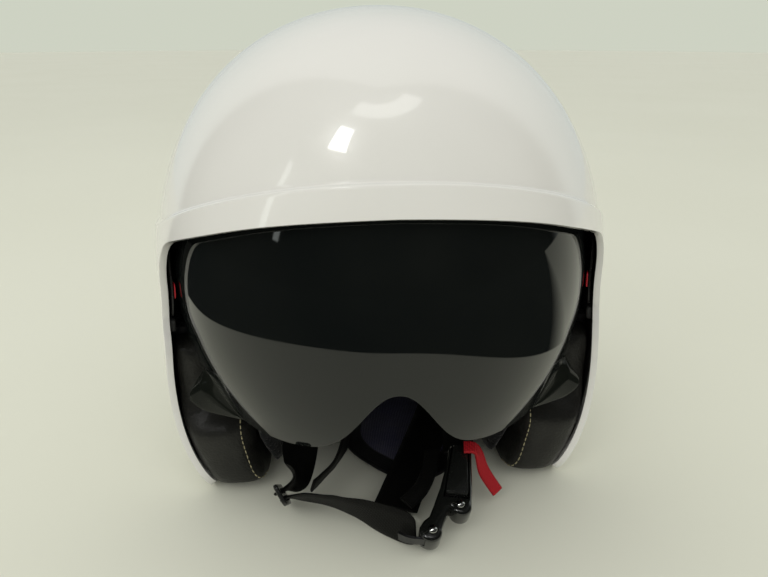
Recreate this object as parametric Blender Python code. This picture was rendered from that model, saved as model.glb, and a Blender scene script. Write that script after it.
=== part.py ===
"""Open-face helmet with a full internal sun visor, cheek pads, a webbing
chin harness and a ratchet buckle.

Units are metres, +Z up. The front of the helmet faces -Y, the wearer's right
side is -X. The origin is on the resting plane, under the middle of the part.
"""

import math

import bmesh
import bpy
from mathutils import Vector

for old in list(bpy.data.objects):
    bpy.data.objects.remove(old, do_unlink=True)

MM = 0.001

# ---------------------------------------------------------------- dimensions
# all lengths in millimetres, all angles in degrees

CENTRE = (0.0, -6.0, 126.0)      # centre of the shell's curvature
HALF_WIDTH = 128.0               # plain crown of the shell, each way from CENTRE
FRONT = 136.0
REAR = 148.0
TOP = 136.0
DOWN = 160.0
PLAN_UP = 2.08                   # roundness of the crown seen from above
PLAN_LOW = 3.0                   # roundness of the lower edge seen from above
DOWN_POWER = 3.3
SHELL_T = 3.5
BAND_STEP = 2.2                  # the brow and sides stand proud below a crease
CREASE_ANGLE = 28.2
CREASE_SIDE = 24.0               # height of the crease above CENTRE on the sides

PIVOT_Y = -2.0                   # the visor turns about X through here
PIVOT_Z = 118.0
LENS_HALF = 121.2
LENS_R = 137.5
LENS_POWER = 2.1
LENS_T = 2.0
LENS_TOP = 31.6
LENS_BOSS = 16.0
LOBE_ANGLE = 21.5                # lower edge of the lens beside the nose
LOBE_SLOPE = 0.16
NOSE_RISE = 12.5
NOSE_WIDTH = 22.0

FOAM_HALF = 113.5                # outside of the moulded foam liner
FOAM_FRONT = 124.0
FOAM_REAR = 143.0
FOAM_TOP = 124.0
CAVITY_HALF = 90.0               # inside of the moulded foam liner
CAVITY_FRONT = 100.0
CAVITY_REAR = 114.0
CAVITY_TOP = 97.0
PAD_T = 8.0

WEB_W = 25.0                     # harness webbing
WEB_T = 1.8

# ---------------------------------------------------------------- materials


def material(name, colour, rough, metal=0.0):
    mat = bpy.data.materials.new(name)
    mat.use_nodes = True
    node = mat.node_tree.nodes["Principled BSDF"]
    node.inputs["Base Color"].default_value = (*colour, 1.0)
    node.inputs["Roughness"].default_value = rough
    node.inputs["Metallic"].default_value = metal
    mat.diffuse_color = (*colour, 1.0)
    return mat


def emit(name, verts, faces, mat, pivot=None, smooth=40.0):
    """One mesh object; verts are in millimetres, pivot is its origin."""
    origin = Vector(pivot if pivot else (0.0, 0.0, 0.0))
    mesh = bpy.data.meshes.new(name)
    mesh.from_pydata([tuple((Vector(v) - origin) * MM) for v in verts], [], faces)
    mesh.validate()
    mesh.update()
    mesh.shade_smooth()
    mesh.set_sharp_from_angle(angle=math.radians(smooth))
    obj = bpy.data.objects.new(name, mesh)
    obj.location = origin * MM
    bpy.context.scene.collection.objects.link(obj)
    mesh.materials.append(material(name, *mat))
    return obj


WHITE = ((0.74, 0.72, 0.69), 0.12)
FOAM = ((0.03, 0.03, 0.033), 0.85)
LINING = ((0.012, 0.010, 0.03), 0.9)
LEATHER = ((0.018, 0.018, 0.016), 0.45)
FABRIC = ((0.008, 0.008, 0.010), 0.95)
SMOKE = ((0.03, 0.033, 0.032), 0.05)
PLASTIC = ((0.012, 0.012, 0.013), 0.3)
RUBBER = ((0.015, 0.015, 0.015), 0.7)
STEEL = ((0.55, 0.55, 0.54), 0.3, 1.0)
DARK_STEEL = ((0.08, 0.08, 0.085), 0.3, 1.0)
WEB = ((0.011, 0.011, 0.011), 0.8)
RED = ((0.55, 0.012, 0.02), 0.45)

# ---------------------------------------------------------------- helpers


def clamp(v, lo=0.0, hi=1.0):
    return max(lo, min(hi, v))


def smooth(v):
    v = clamp(v)
    return v * v * (3.0 - 2.0 * v)


def lerp(a, b, t):
    return tuple(x + (y - x) * t for x, y in zip(a, b))


def chain(points, radii, spacing):
    """A polyline with rounded corners, sampled about every spacing."""
    pts = [Vector(p) for p in points]
    path = [pts[0]]
    for i in range(1, len(pts) - 1):
        a, b, c = pts[i - 1], pts[i], pts[i + 1]
        r = radii[i]
        u, v = (a - b), (c - b)
        cut = min(r, u.length * 0.49, v.length * 0.49)
        p0, p2 = b + u.normalized() * cut, b + v.normalized() * cut
        for k in range(5):
            t = k / 4.0
            path.append(p0 * (1 - t) ** 2 + b * 2 * t * (1 - t) + p2 * t * t)
    path.append(pts[-1])
    lengths = [0.0]
    for a, b in zip(path, path[1:]):
        lengths.append(lengths[-1] + (b - a).length)
    count = max(2, round(lengths[-1] / spacing))
    out, k = [], 0
    for i in range(count + 1):
        s = lengths[-1] * i / count
        while k < len(path) - 2 and lengths[k + 1] < s:
            k += 1
        span = lengths[k + 1] - lengths[k]
        t = 0.0 if span == 0 else (s - lengths[k]) / span
        out.append(path[k].lerp(path[k + 1], clamp(t)))
    return out


def radius(d, axes):
    """Distance from CENTRE to a helmet-shaped surface along the unit d."""
    half, front, rear, top, down = axes
    elevation = math.degrees(math.asin(clamp(d.z, -1.0, 1.0)))
    p = PLAN_UP + (PLAN_LOW - PLAN_UP) * smooth(-elevation / 45.0)
    ay = front if d.y < 0 else rear
    if d.z >= 0:
        return (abs(d.x / half) ** p
                + (abs(d.y / ay) ** 2 + abs(d.z / top) ** 2) ** (p / 2)) ** (-1 / p)
    u = (abs(d.x / half) ** p + abs(d.y / ay) ** p) ** (DOWN_POWER / p)
    return (u + abs(d.z / down) ** DOWN_POWER) ** (-1 / DOWN_POWER)


def crease_height(y_rel):
    slope = math.tan(math.radians(CREASE_ANGLE)) * max(-y_rel, 0.0)
    return (slope ** 4 + CREASE_SIDE ** 4) ** 0.25


def band(p_rel):
    """0 above the crease, 1 below it, fading out behind the ears."""
    below = crease_height(p_rel.y) - p_rel.z
    fade = 1.0 - smooth((p_rel.y - 30.0) / 70.0)
    return smooth((below + 1.5) / 3.0) * fade


SHELL_AXES = (HALF_WIDTH, FRONT, REAR, TOP, DOWN)


def shell_radius(d, inset=0.0):
    r = radius(d, SHELL_AXES)
    w = band(d * r)
    grow = BAND_STEP * w - inset
    return r + grow


def scaled(axes, inset):
    return tuple(a - inset for a in axes)


def on_shell(point, inset=0.0):
    """Slides a point out to the shell; low points keep their height."""
    c = Vector(CENTRE)
    rel = Vector(point) - c
    if rel.z > -70.0:
        d = rel.normalized()
        return c + d * shell_radius(d, inset)
    lo, hi = 0.3, 2.2
    for _ in range(40):
        k = (lo + hi) / 2
        q = Vector((rel.x * k, rel.y * k, rel.z))
        d = q.normalized()
        if q.length < shell_radius(d, inset):
            lo = k
        else:
            hi = k
    return c + Vector((rel.x * lo, rel.y * lo, rel.z))


def side_x(y, z, inset):
    """Half width of the shell, less inset, at a place in its side view."""
    c = Vector(CENTRE)
    lo, hi = 5.0, 150.0
    for _ in range(40):
        x = (lo + hi) / 2
        q = Vector((x, y - c.y, z - c.z))
        if q.length < shell_radius(q.normalized(), inset):
            lo = x
        else:
            hi = x
    return lo


def wall_frame(sign, y, z, inset):
    """A place on the inside of the shell, with its outward normal and two
    directions along the wall (towards the back, and up)."""
    def at(a, b):
        return Vector((sign * side_x(a, b, inset), a, b))
    p = at(y, z)
    back = (at(y + 2, z) - at(y - 2, z)).normalized()
    up = (at(y, z + 2) - at(y, z - 2)).normalized()
    out = back.cross(up).normalized()
    if out.x * sign < 0:
        out = -out
    up = (up - back * up.dot(back)).normalized()
    return p, out, back, up


def wall_plate(name, sign, y, z, inset, outline, depths, mat, pivot=False):
    """A flat piece against the shell wall; depths are (depth, shrink)."""
    p, out, back, up = wall_frame(sign, y, z, inset)
    rings = [[p - out * d + back * u * e + up * v * e for u, v in outline] for d, e in depths]
    return loft(name, rings, mat, p if pivot else None)


def mirror_loop(half):
    """A half loop from front centre to rear centre, closed by its mirror."""
    other = [Vector((-p.x, p.y, p.z)) for p in reversed(half[1:-1])]
    return half + other


POLE = Vector((0.0, 0.45, 0.89)).normalized()


def cap(name, loop, outer, inner, rings, mat, ease=1.0):
    """A domed wall: spokes run from the pole to a boundary loop.

    outer and inner give the distance from CENTRE along a direction.
    """
    c = Vector(CENTRE)
    n = len(loop)
    dirs = [(p - c).normalized() for p in loop]
    verts, faces = [], []
    for side, reach in ((0, outer), (1, inner)):
        verts.append(c + POLE * reach(POLE, 0.0))
        for j in range(1, rings + 1):
            t = (j / rings) ** ease
            for d in dirs:
                q = POLE.slerp(d, t)
                verts.append(c + q * reach(q, t))
    half = 1 + rings * n

    def at(side, j, i):
        return side * half + 1 + (j - 1) * n + i % n

    for i in range(n):
        faces.append((0, at(0, 1, i), at(0, 1, i + 1)))
        faces.append((half, at(1, 1, i + 1), at(1, 1, i)))
        for j in range(1, rings):
            faces.append((at(0, j, i), at(0, j + 1, i), at(0, j + 1, i + 1), at(0, j, i + 1)))
            faces.append((at(1, j, i + 1), at(1, j + 1, i + 1), at(1, j + 1, i), at(1, j, i)))
        faces.append((at(0, rings, i), at(1, rings, i), at(1, rings, i + 1), at(0, rings, i + 1)))
    return emit(name, verts, faces, mat)


def slab(name, outer, inner, mat, pivot=None, smooth=40.0):
    """A closed wall between two equal grids of points."""
    n, m = len(outer), len(outer[0])
    verts = [p for row in outer for p in row] + [p for row in inner for p in row]
    k = n * m
    faces = []
    for i in range(n - 1):
        for j in range(m - 1):
            a, b, c, d = i * m + j, (i + 1) * m + j, (i + 1) * m + j + 1, i * m + j + 1
            faces.append((a, b, c, d))
            faces.append((k + d, k + c, k + b, k + a))
    for i in range(n - 1):
        a, b = i * m, (i + 1) * m
        faces.append((b, a, k + a, k + b))
        a, b = i * m + m - 1, (i + 1) * m + m - 1
        faces.append((a, b, k + b, k + a))
    for j in range(m - 1):
        a, b = j, j + 1
        faces.append((a, b, k + b, k + a))
        a, b = (n - 1) * m + j, (n - 1) * m + j + 1
        faces.append((b, a, k + a, k + b))
    return face_out(emit(name, verts, faces, mat, pivot, smooth))


def face_out(obj):
    """Turns the faces of a closed mesh outward."""
    bm = bmesh.new()
    bm.from_mesh(obj.data)
    bmesh.ops.recalc_face_normals(bm, faces=bm.faces)
    if bm.calc_volume(signed=True) < 0:
        bmesh.ops.reverse_faces(bm, faces=bm.faces)
    bm.to_mesh(obj.data)
    bm.free()
    return obj


def loft(name, rings, mat, pivot=None, smooth=40.0):
    """Closed rings joined in order, with flat ends."""
    n = len(rings[0])
    verts = [p for ring in rings for p in ring]
    faces = [tuple(range(n)), tuple((len(rings) - 1) * n + i for i in reversed(range(n)))]
    for k in range(len(rings) - 1):
        for i in range(n):
            a, b = k * n + i, k * n + (i + 1) % n
            faces.append((a, a + n, b + n, b))
    return face_out(emit(name, verts, faces, mat, pivot, smooth))


def turned(name, origin, axis, profile, mat, segments=20, pivot=None, hollow=False):
    """A turned piece: profile is (radius, distance along axis), in order."""
    axis = Vector(axis).normalized()
    side = axis.orthogonal().normalized()
    other = axis.cross(side)
    rings = []
    for r, h in profile:
        rings.append([Vector(origin) + axis * h
                      + (side * math.cos(a) + other * math.sin(a)) * r
                      for a in (math.tau * i / segments for i in range(segments))])
    if not hollow:
        return loft(name, rings, mat, pivot)
    n = segments
    verts = [p for ring in rings for p in ring]
    faces = []
    for k in range(len(rings)):
        for i in range(n):
            a, b = k * n + i, k * n + (i + 1) % n
            q = (k + 1) % len(rings)
            faces.append((a, q * n + i, q * n + (i + 1) % n, b))
    return face_out(emit(name, verts, faces, mat, pivot))


def ribbon(name, path, across, width, thick, mat, pivot=None, samples=None):
    """Flat webbing along a smooth curve; across gives its width direction."""
    pts = [Vector(p) for p in path]
    wid = [Vector(a) for a in across]
    count = samples if samples else 4 * (len(pts) - 1)

    def curve(values, s):
        k = min(int(s), len(values) - 2)
        t = s - k
        p0 = values[max(k - 1, 0)]
        p1, p2 = values[k], values[k + 1]
        p3 = values[min(k + 2, len(values) - 1)]
        return 0.5 * (2 * p1 + (p2 - p0) * t + (2 * p0 - 5 * p1 + 4 * p2 - p3) * t * t
                      + (3 * p1 - p0 - 3 * p2 + p3) * t ** 3)

    rings = []
    for i in range(count + 1):
        s = (len(pts) - 1) * i / count
        p = curve(pts, s)
        e = 0.01
        tangent = (curve(pts, min(s + e, len(pts) - 1)) - curve(pts, max(s - e, 0))).normalized()
        w = curve(wid, s)
        w = (w - tangent * w.dot(tangent)).normalized()
        nrm = tangent.cross(w)
        rings.append([p + w * (a * width / 2) + nrm * (b * thick / 2)
                      for a, b in ((-1, -1), (1, -1), (1, 1), (-1, 1))])
    return loft(name, rings, mat, pivot, smooth=60.0)


def rounded(half_u, half_v, r, steps=4):
    """Corner-rounded rectangle outline centred on the origin."""
    out = []
    for cu, cv, start in ((1, 1, 0), (-1, 1, 90), (-1, -1, 180), (1, -1, 270)):
        for k in range(steps + 1):
            a = math.radians(start + 90 * k / steps)
            out.append((cu * (half_u - r) + r * math.cos(a),
                        cv * (half_v - r) + r * math.sin(a)))
    return out


# ---------------------------------------------------------------- outer shell
# The boundary is one loop: brow, side edge with its step at the visor tabs,
# lower front corner, flat lower edge, and nape.

SHELL_EDGE = [
    ((0, -134, 177.6), 0), ((60, -122, 172.0), 30), ((92, -101, 161.8), 20),
    ((111.5, -73, 150.5), 12), ((117, -64, 132), 20), ((119, -62, 103), 4),
    ((117, -70, 93), 6), ((115, -71, 60), 25), ((109, -75, 26), 20),
    ((103, -79, 0), 14), ((106, -20, 0), 30), ((108, 30, 0), 30),
    ((97, 80, 2), 40), ((60, 122, 14), 40), ((0, 138, 20), 0)]


def shell_loop(spacing, inset=0.0):
    raw = chain([p for p, _ in SHELL_EDGE], [r for _, r in SHELL_EDGE], spacing)
    out = []
    for p in raw:
        q = on_shell(p, inset)
        if q.z < 0.4:
            q.z = 0.0
        out.append(q)
    out[0].x = out[-1].x = 0.0
    return mirror_loop(out)


def build_shell():
    loop = shell_loop(15.0)
    obj = cap("outer_shell", loop, lambda d, t: shell_radius(d),
              lambda d, t: shell_radius(d, SHELL_T), 11, WHITE, ease=0.9)
    # the lower edge is trimmed flat, so the helmet stands on it
    n = len(loop)
    half = len(obj.data.vertices) // 2
    for i in range(n):
        rim = obj.data.vertices[half - n + i].co
        lip = obj.data.vertices[2 * half - n + i].co
        if rim.z < 0.0006:
            level = Vector((rim.x, rim.y, 0.0))
            rim.z = 0.0
            lip.xyz = level * (1.0 - (SHELL_T + 0.4) * MM / level.length)
    return obj


build_shell()

# ---------------------------------------------------------------- foam liner

FOAM_EDGE = [
    ((0, -122, 176), 0), ((60, -110, 170), 30), ((92, -84, 158), 20),
    ((103, -50, 143), 14), ((110, -34, 118), 14), ((110, -26, 97), 8),
    ((110, 10, 95), 20), ((108, 34, 93), 12), ((105, 60, 70), 14), ((96, 82, 58), 20),
    ((60, 118, 50), 40), ((0, 134, 48), 0)]
FOAM_AXES = (FOAM_HALF, FOAM_FRONT, FOAM_REAR, FOAM_TOP, DOWN)
CAVITY_AXES = (CAVITY_HALF, CAVITY_FRONT, CAVITY_REAR, CAVITY_TOP, DOWN - 25)


def plain_loop(edge, axes, spacing):
    c = Vector(CENTRE)
    out = []
    for p in chain([p for p, _ in edge], [r for _, r in edge], spacing):
        d = (p - c).normalized()
        out.append(c + d * radius(d, axes))
    out[0].x = out[-1].x = 0.0
    return mirror_loop(out)


cap("impact_liner", plain_loop(FOAM_EDGE, FOAM_AXES, 24.0),
    lambda d, t: radius(d, FOAM_AXES), lambda d, t: radius(d, CAVITY_AXES), 8, FOAM)

# soft comfort lining of the crown, inside the foam
CROWN_EDGE = [
    ((0, -96, 160), 0), ((50, -84, 156), 30), ((78, -50, 146), 20), ((86, -14, 118), 14),
    ((86, 20, 104), 20), ((84, 50, 92), 20), ((60, 90, 76), 30), ((0, 108, 70), 0)]
cap("crown_pad", plain_loop(CROWN_EDGE, scaled(CAVITY_AXES, 2.2), 24.0),
    lambda d, t: radius(d, scaled(CAVITY_AXES, 2.2)),
    lambda d, t: radius(d, scaled(CAVITY_AXES, 2.2 + PAD_T * (1.0 - 0.5 * smooth((t - 0.8) / 0.2)))),
    7, LINING)

# ---------------------------------------------------------------- visor
# A smoked lens turned about the pivot line, so that it slides up between the
# shell and the foam. Its lower edge has two lobes, a nose notch, and a
# flared thumb tab at each corner.


def lens_section(beta, inset=0.0):
    s, c = math.sin(abs(beta)), math.cos(beta)
    x = (LENS_HALF - inset) * s ** (2 / LENS_POWER)
    r = (LENS_R - inset) * c ** (2 / LENS_POWER)
    return math.copysign(x, beta), r


def lens_point(x, r, angle):
    a = math.radians(angle)
    return Vector((x, PIVOT_Y - r * math.cos(a), PIVOT_Z + r * math.sin(a)))


def lens_top(r):
    return LENS_TOP + 28.0 * clamp((60.0 - r) / 44.0) ** 2


TAB_START, TAB_END = 78.0, 99.0
TAB_ROOT = -25.5                 # highest point of the tab's root on the lens


def lens_bottom(x, r):
    """Angle of the lens's lower edge; behind the tabs it is the arm's edge."""
    ax = abs(x)
    if ax <= TAB_START:
        return -(LOBE_ANGLE + LOBE_SLOPE * ax) + NOSE_RISE * math.exp(-(ax / NOSE_WIDTH) ** 2)
    if ax <= TAB_END:
        t = (ax - TAB_START) / (TAB_END - TAB_START)
        low = -(LOBE_ANGLE + LOBE_SLOPE * TAB_START)
        return low + (TAB_ROOT - low) * smooth(t * 1.25) - 1.2 * smooth((t - 0.75) * 4)
    reach = 14.0 + (r - LENS_BOSS) * (25.0 - 14.0) / (70.0 - LENS_BOSS)
    arm = -math.degrees(math.asin(clamp(reach / r)))
    t = smooth((r - 66.0) / 20.0)
    return arm * (1 - t) + (TAB_ROOT - 1.2) * t


TAB_BOTTOM = Vector((100.5, -82.0, 58.0))
TAB_TIP = Vector((109.3, -81.0, 65.5))


def tab_edge(t, start, end):
    """Outer edge of the tab, from the lobe corner round the tip to the arm."""
    corner = [start, TAB_BOTTOM, TAB_TIP, end]
    path = chain(corner, [0, 5, 6, 0], 1.0)
    s = clamp(t) * (len(path) - 1)
    k = min(int(s), len(path) - 2)
    return path[k].lerp(path[k + 1], s - k)


def lens_grid(columns, rows, tab_rows, edge_strip=1.4):
    """Outer face of the lens, column by column from right arm to left arm."""
    limit = math.acos((LENS_BOSS / LENS_R) ** (LENS_POWER / 2))
    beta_a = math.asin((TAB_START / LENS_HALF) ** (LENS_POWER / 2))
    beta_b = math.asin((TAB_END / LENS_HALF) ** (LENS_POWER / 2))
    # columns are closer together at the nose and on the tabs
    beta_n = math.asin((24.0 / LENS_HALF) ** (LENS_POWER / 2))
    near, mid, tab, arm = columns
    half = ([beta_n * k / near for k in range(1, near + 1)]
            + [beta_n + (beta_a - beta_n) * k / mid for k in range(1, mid + 1)]
            + [beta_a + (beta_b - beta_a) * k / tab for k in range(1, tab + 1)]
            + [beta_b + (limit - beta_b) * k / arm for k in range(1, arm + 1)])
    grid = []
    for beta in [-b for b in reversed(half)] + [0.0] + half:
        x, r = lens_section(beta)
        top, low = lens_top(r), lens_bottom(x, r)
        ax = abs(x)
        strip = math.degrees(edge_strip / r)
        in_tab = beta_a + 1e-6 < abs(beta) < beta_b - 1e-6
        root = low + strip
        column = [lens_point(x, r, top + (root - top) * j / rows) for j in range(rows + 1)]
        if in_tab:
            t = (abs(beta) - beta_a) / (beta_b - beta_a)
            sx, sr = lens_section(beta_a)
            ex, er = lens_section(beta_b)
            a = lens_point(sx, sr, lens_bottom(sx, sr))
            b = lens_point(ex, er, lens_bottom(ex, er))
            end = tab_edge(t, a, b)
            if x < 0:
                end = Vector((-end.x, end.y, end.z))
            base = column[-1]
        else:
            end = lens_point(x, r, low)
            base = column[-1]
        for j in range(1, tab_rows + 1):
            column.append(base.lerp(end, j / tab_rows))
        grid.append(column)
    return grid


def thicken(grid, t, inward):
    """Offsets a grid of points by t, to the side that inward points to."""
    n, m = len(grid), len(grid[0])
    out = []
    for i in range(n):
        row = []
        for j in range(m):
            du = grid[min(i + 1, n - 1)][j] - grid[max(i - 1, 0)][j]
            dv = grid[i][min(j + 1, m - 1)] - grid[i][max(j - 1, 0)]
            nrm = du.cross(dv)
            if nrm.length < 1e-9:
                nrm = Vector((0, 1, 0))
            nrm.normalize()
            if nrm.dot(inward - grid[i][j]) < 0:
                nrm = -nrm
            row.append(grid[i][j] + nrm * t)
        out.append(row)
    return out


PIVOT = Vector((0.0, PIVOT_Y, PIVOT_Z))
lens_outer = lens_grid((5, 7, 6, 6), 7, 2)
lens_inner = thicken(lens_outer, LENS_T, PIVOT)
slab("visor_lens", lens_outer, lens_inner, SMOKE, pivot=PIVOT)

for sign, side in ((-1, "right"), (1, "left")):
    hub_at = (0.0, PIVOT_Y, PIVOT_Z)
    along = (sign, 0, 0)
    # hub bonded inside the lens arm
    turned(f"visor_hub_{side}", hub_at, along,
           [(3.3, 116.9), (20.0, 116.9), (20.0, 117.5), (10.0, 118.0), (8.0, 120.4), (3.3, 120.4)],
           PLASTIC, 24, hollow=True, pivot=PIVOT)
    turned(f"pivot_screw_{side}", hub_at, along,
           [(2.9, 114.4), (2.9, 120.8), (6.5, 120.8), (6.5, 121.7), (5.0, 122.4)], STEEL, 20)
    turned(f"friction_washer_{side}", hub_at, along,
           [(3.4, 115.9), (9.0, 115.9), (9.0, 116.6), (3.4, 116.6)], STEEL, 20, hollow=True)
    # mounting plate set into the side of the foam
    turned(f"pivot_plate_{side}", hub_at, along,
           [(3.3, 113.9), (19.0, 113.9), (19.0, 114.9), (6.5, 115.6), (3.3, 115.6)],
           PLASTIC, 24, hollow=True)

# ---------------------------------------------------------------- side covers
# Black cover between lens arm and shell, along the side edge of the opening,
# with the red quick-release slide of the visor at its front.

for sign, side in ((-1, "right"), (1, "left")):
    n_u, n_v = 7, 5
    outer, inner = [], []
    for i in range(n_u):
        u = i / (n_u - 1)
        z = 104.0 + u * 38.0
        front = -59.6 + 1.5 * abs(2 * u - 1) ** 4
        rear = -18.0
        row_o, row_i = [], []
        for j in range(n_v):
            y = front + (rear - front) * j / (n_v - 1)
            row_o.append(Vector((sign * side_x(y, z, SHELL_T + 2.0), y, z)))
            row_i.append(Vector((sign * side_x(y, z, SHELL_T + 3.1), y, z)))
        outer.append(row_o)
        inner.append(row_i)
    slab(f"side_cover_{side}", outer, inner, PLASTIC)
    # rubber bumper under the cover, where the lowered visor comes to rest
    wall_plate(f"visor_stop_{side}", sign, -58.0, 99.0, SHELL_T + 1.1,
               rounded(3.0, 3.6, 1.4, 2), [(0.0, 1.0), (1.8, 1.0), (2.5, 0.8)], RUBBER)
    # the quick-release slide of the visor, on the inner face of the cover
    wall_plate(f"visor_release_{side}", sign, -57.0, 119.0, SHELL_T + 3.6,
               rounded(2.8, 4.2, 1.0, 2), [(0.0, 1.0), (0.5, 1.0), (0.9, 0.8)], RED, pivot=True)

# ---------------------------------------------------------------- cheek pads
# Each side: a foam block against the shell, a leatherette front panel that
# wraps to the stitch line, and a fabric cushion that faces the cheek.


def pad_levels(z0, z1, steps):
    return [z0 + (z1 - z0) * k / steps for k in range(steps + 1)]


def squeeze(z, z0, z1, edge):
    """1 in the middle, falling towards both ends over edge."""
    a = clamp((z - z0) / edge)
    b = clamp((z1 - z) / edge)
    return math.sqrt(1 - (1 - a) ** 2) * math.sqrt(1 - (1 - b) ** 2)


for sign, side in ((-1, "right"), (1, "left")):
    # foam block
    rings = []
    for z in pad_levels(8.0, 90.0, 6):
        ring = []
        ys = [-42.0 + 62.0 * k / 6 for k in range(7)]
        for y in ys:
            ring.append(Vector((sign * side_x(y, z, SHELL_T + 1.6), y, z)))
        for y in reversed(ys):
            ring.append(Vector((sign * (side_x(y, z, SHELL_T + 1.6) - 14.0), y, z)))
        rings.append(ring)
    loft(f"cheek_foam_{side}", rings, FOAM)

    # leatherette front panel
    z0, z1 = 4.0, 88.0
    rings = []
    for z in pad_levels(z0, z1, 12):
        k = squeeze(z, z0 - 1.0, z1 + 1.0, 13.0)
        wall_gap = SHELL_T + 3.0 + 2.0 * (1.0 - smooth(z / 24.0))
        outer_front = side_x(-66.5, z, wall_gap)
        outer_mid = side_x(-43.5, z, wall_gap)
        seam = 78.0 - 9.0 * (1 - smooth((z - z0) / 26.0))
        # the upper part stays behind the lowered visor and its tabs
        depth = 12.0 * k * (1.0 - smooth((z - 40.0) / 14.0)) - 3.0 * smooth((z - 44.0) / 14.0)
        ring = [
            (outer_mid, -43.5), (outer_front, -65.0),
            (outer_front - 4.0, -66.5 - 0.7 * depth),
            (outer_front * 0.6 + seam * 0.4, -67.5 - depth),
            (outer_front * 0.3 + seam * 0.7, -67.0 - depth),
            (seam + 2.0, -65.5 - 0.8 * depth), (seam, -60.0), (seam, -43.5),
        ]
        rings.append([Vector((sign * x, y, z)) for x, y in ring])
    loft(f"cheek_panel_{side}", rings, LEATHER)

    # fabric cushion
    z0, z1 = 5.0, 88.0
    rings = []
    for z in pad_levels(z0, z1, 9):
        k = squeeze(z, z0 - 1.0, z1 + 1.0, 18.0)
        seam = 77.4 - 9.0 * (1 - smooth((z - 4.0) / 26.0))
        inner = seam - 3.0 - 11.0 * k
        back = side_x(2.0, z, SHELL_T + 1.6) - 15.2
        back2 = side_x(-42.5, z, SHELL_T + 1.6) - 15.2
        ring = [
            (seam - 0.2, -60.0), (seam - 1.5, -63.0 - 6.0 * k), (inner + 2.5, -61.0 - 5.0 * k),
            (inner, -52.0), (inner - 1.0, -30.0), (inner + 1.0, -6.0), (inner + 6.0, 6.0),
            (back - 4.0, 8.0), (back, 2.0), (min(back2, back), -42.8), (seam - 0.2, -43.0),
        ]
        rings.append([Vector((sign * x, y, z)) for x, y in ring])
    loft(f"cheek_cushion_{side}", rings, FABRIC)

# ---------------------------------------------------------------- neck roll
# padded roll round the nape, hanging below the foam liner


rings = []
for i in range(21):
    t = -1.0 + 2.0 * i / 20
    a = math.radians(90.0 - 50.0 * t)
    out = Vector((math.cos(a), math.sin(a), 0.0))
    low = 8.0 + 10.0 * (1 - abs(t)) ** 0.5
    end = 0.25 + 0.75 * math.sqrt(max(0.0, 1 - abs(t) ** 8))
    ring = []
    for u, v in rounded(9.0 * end, 14.0 * end, 5.0 * end, 3):
        z = low + 14.0 + v
        base = on_shell(Vector(CENTRE) + out * 100 + Vector((0, 0, z - CENTRE[2])), SHELL_T)
        level = Vector((base.x, base.y - CENTRE[1], 0.0))
        reach = level.length - 12.5 + u
        ring.append(Vector((CENTRE[0], CENTRE[1], z)) + level.normalized() * reach)
    rings.append(ring)
loft("neck_roll", rings, LEATHER)

# neck curtain: a loose flap of lining cloth with a bound front edge, lying
# forward under the head opening
CURTAIN_X, CURTAIN_Y = 16.0, -81.0
rings = []
for level, shrink in ((4.2, 0.0), (6.6, 0.0)):
    ring = []
    for k in range(28):
        a = math.tau * k / 28
        rx = 42.0
        ry = 47.0 if math.sin(a) < 0 else 62.0
        y = CURTAIN_Y + 47.0 + ry * math.sin(a)
        x = CURTAIN_X + rx * math.cos(a) * (1.0 - 0.18 * smooth(-math.sin(a)))
        ring.append(Vector((x, y, level)))
    rings.append(ring)
loft("neck_curtain", rings, LINING)

# ---------------------------------------------------------------- harness
# anchor plates on the inside of the shell, each with a rivet
for sign, side in ((-1, "right"), (1, "left")):
    wall_plate(f"strap_anchor_{side}", sign, 42.0, 48.0, SHELL_T + 2.0,
               rounded(15.0, 7.0, 4.0, 3), [(0.0, 1.0), (1.6, 1.0)], STEEL)
    p, out, back, up = wall_frame(sign, 42.0, 48.0, SHELL_T + 2.0)
    turned(f"anchor_rivet_{side}", p - out * 1.9, -out,
           [(4.6, 0.0), (4.6, 0.4), (3.6, 1.5), (1.6, 2.0)], STEEL, 16)

def plate_frame(origin, u, n):
    n = Vector(n).normalized()
    v = n.cross(Vector(u)).normalized()
    return Vector(origin), v.cross(n).normalized(), v, n


def in_frame(frame, u, v, w):
    return frame[0] + frame[1] * u + frame[2] * v + frame[3] * w


def inset_outline(outline, e):
    """Moves a closed outline inwards by e; it runs anticlockwise."""
    out, n = [], len(outline)
    for i in range(n):
        a, b, c = outline[i - 1], outline[i], outline[(i + 1) % n]
        n1 = Vector((a[1] - b[1], b[0] - a[0])).normalized()
        n2 = Vector((b[1] - c[1], c[0] - b[0])).normalized()
        m = (n1 + n2).normalized()
        out.append((b[0] + m.x * e, b[1] + m.y * e))
    return out


def prism(name, frame, outline, heights, mat, pivot=None):
    rings = [[in_frame(frame, u, v, w) for u, v in inset_outline(outline, e)] for w, e in heights]
    return loft(name, rings, mat, pivot)


def carve(target, name, frame, outline, w0, w1):
    cutter = prism(name, frame, outline, [(w0, 0.0), (w1, 0.0)], PLASTIC)
    cutter.hide_render = True
    cutter.display_type = "WIRE"
    cut = target.modifiers.new(name, "BOOLEAN")
    cut.operation = "DIFFERENCE"
    cut.solver = "EXACT"
    cut.object = cutter


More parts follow.
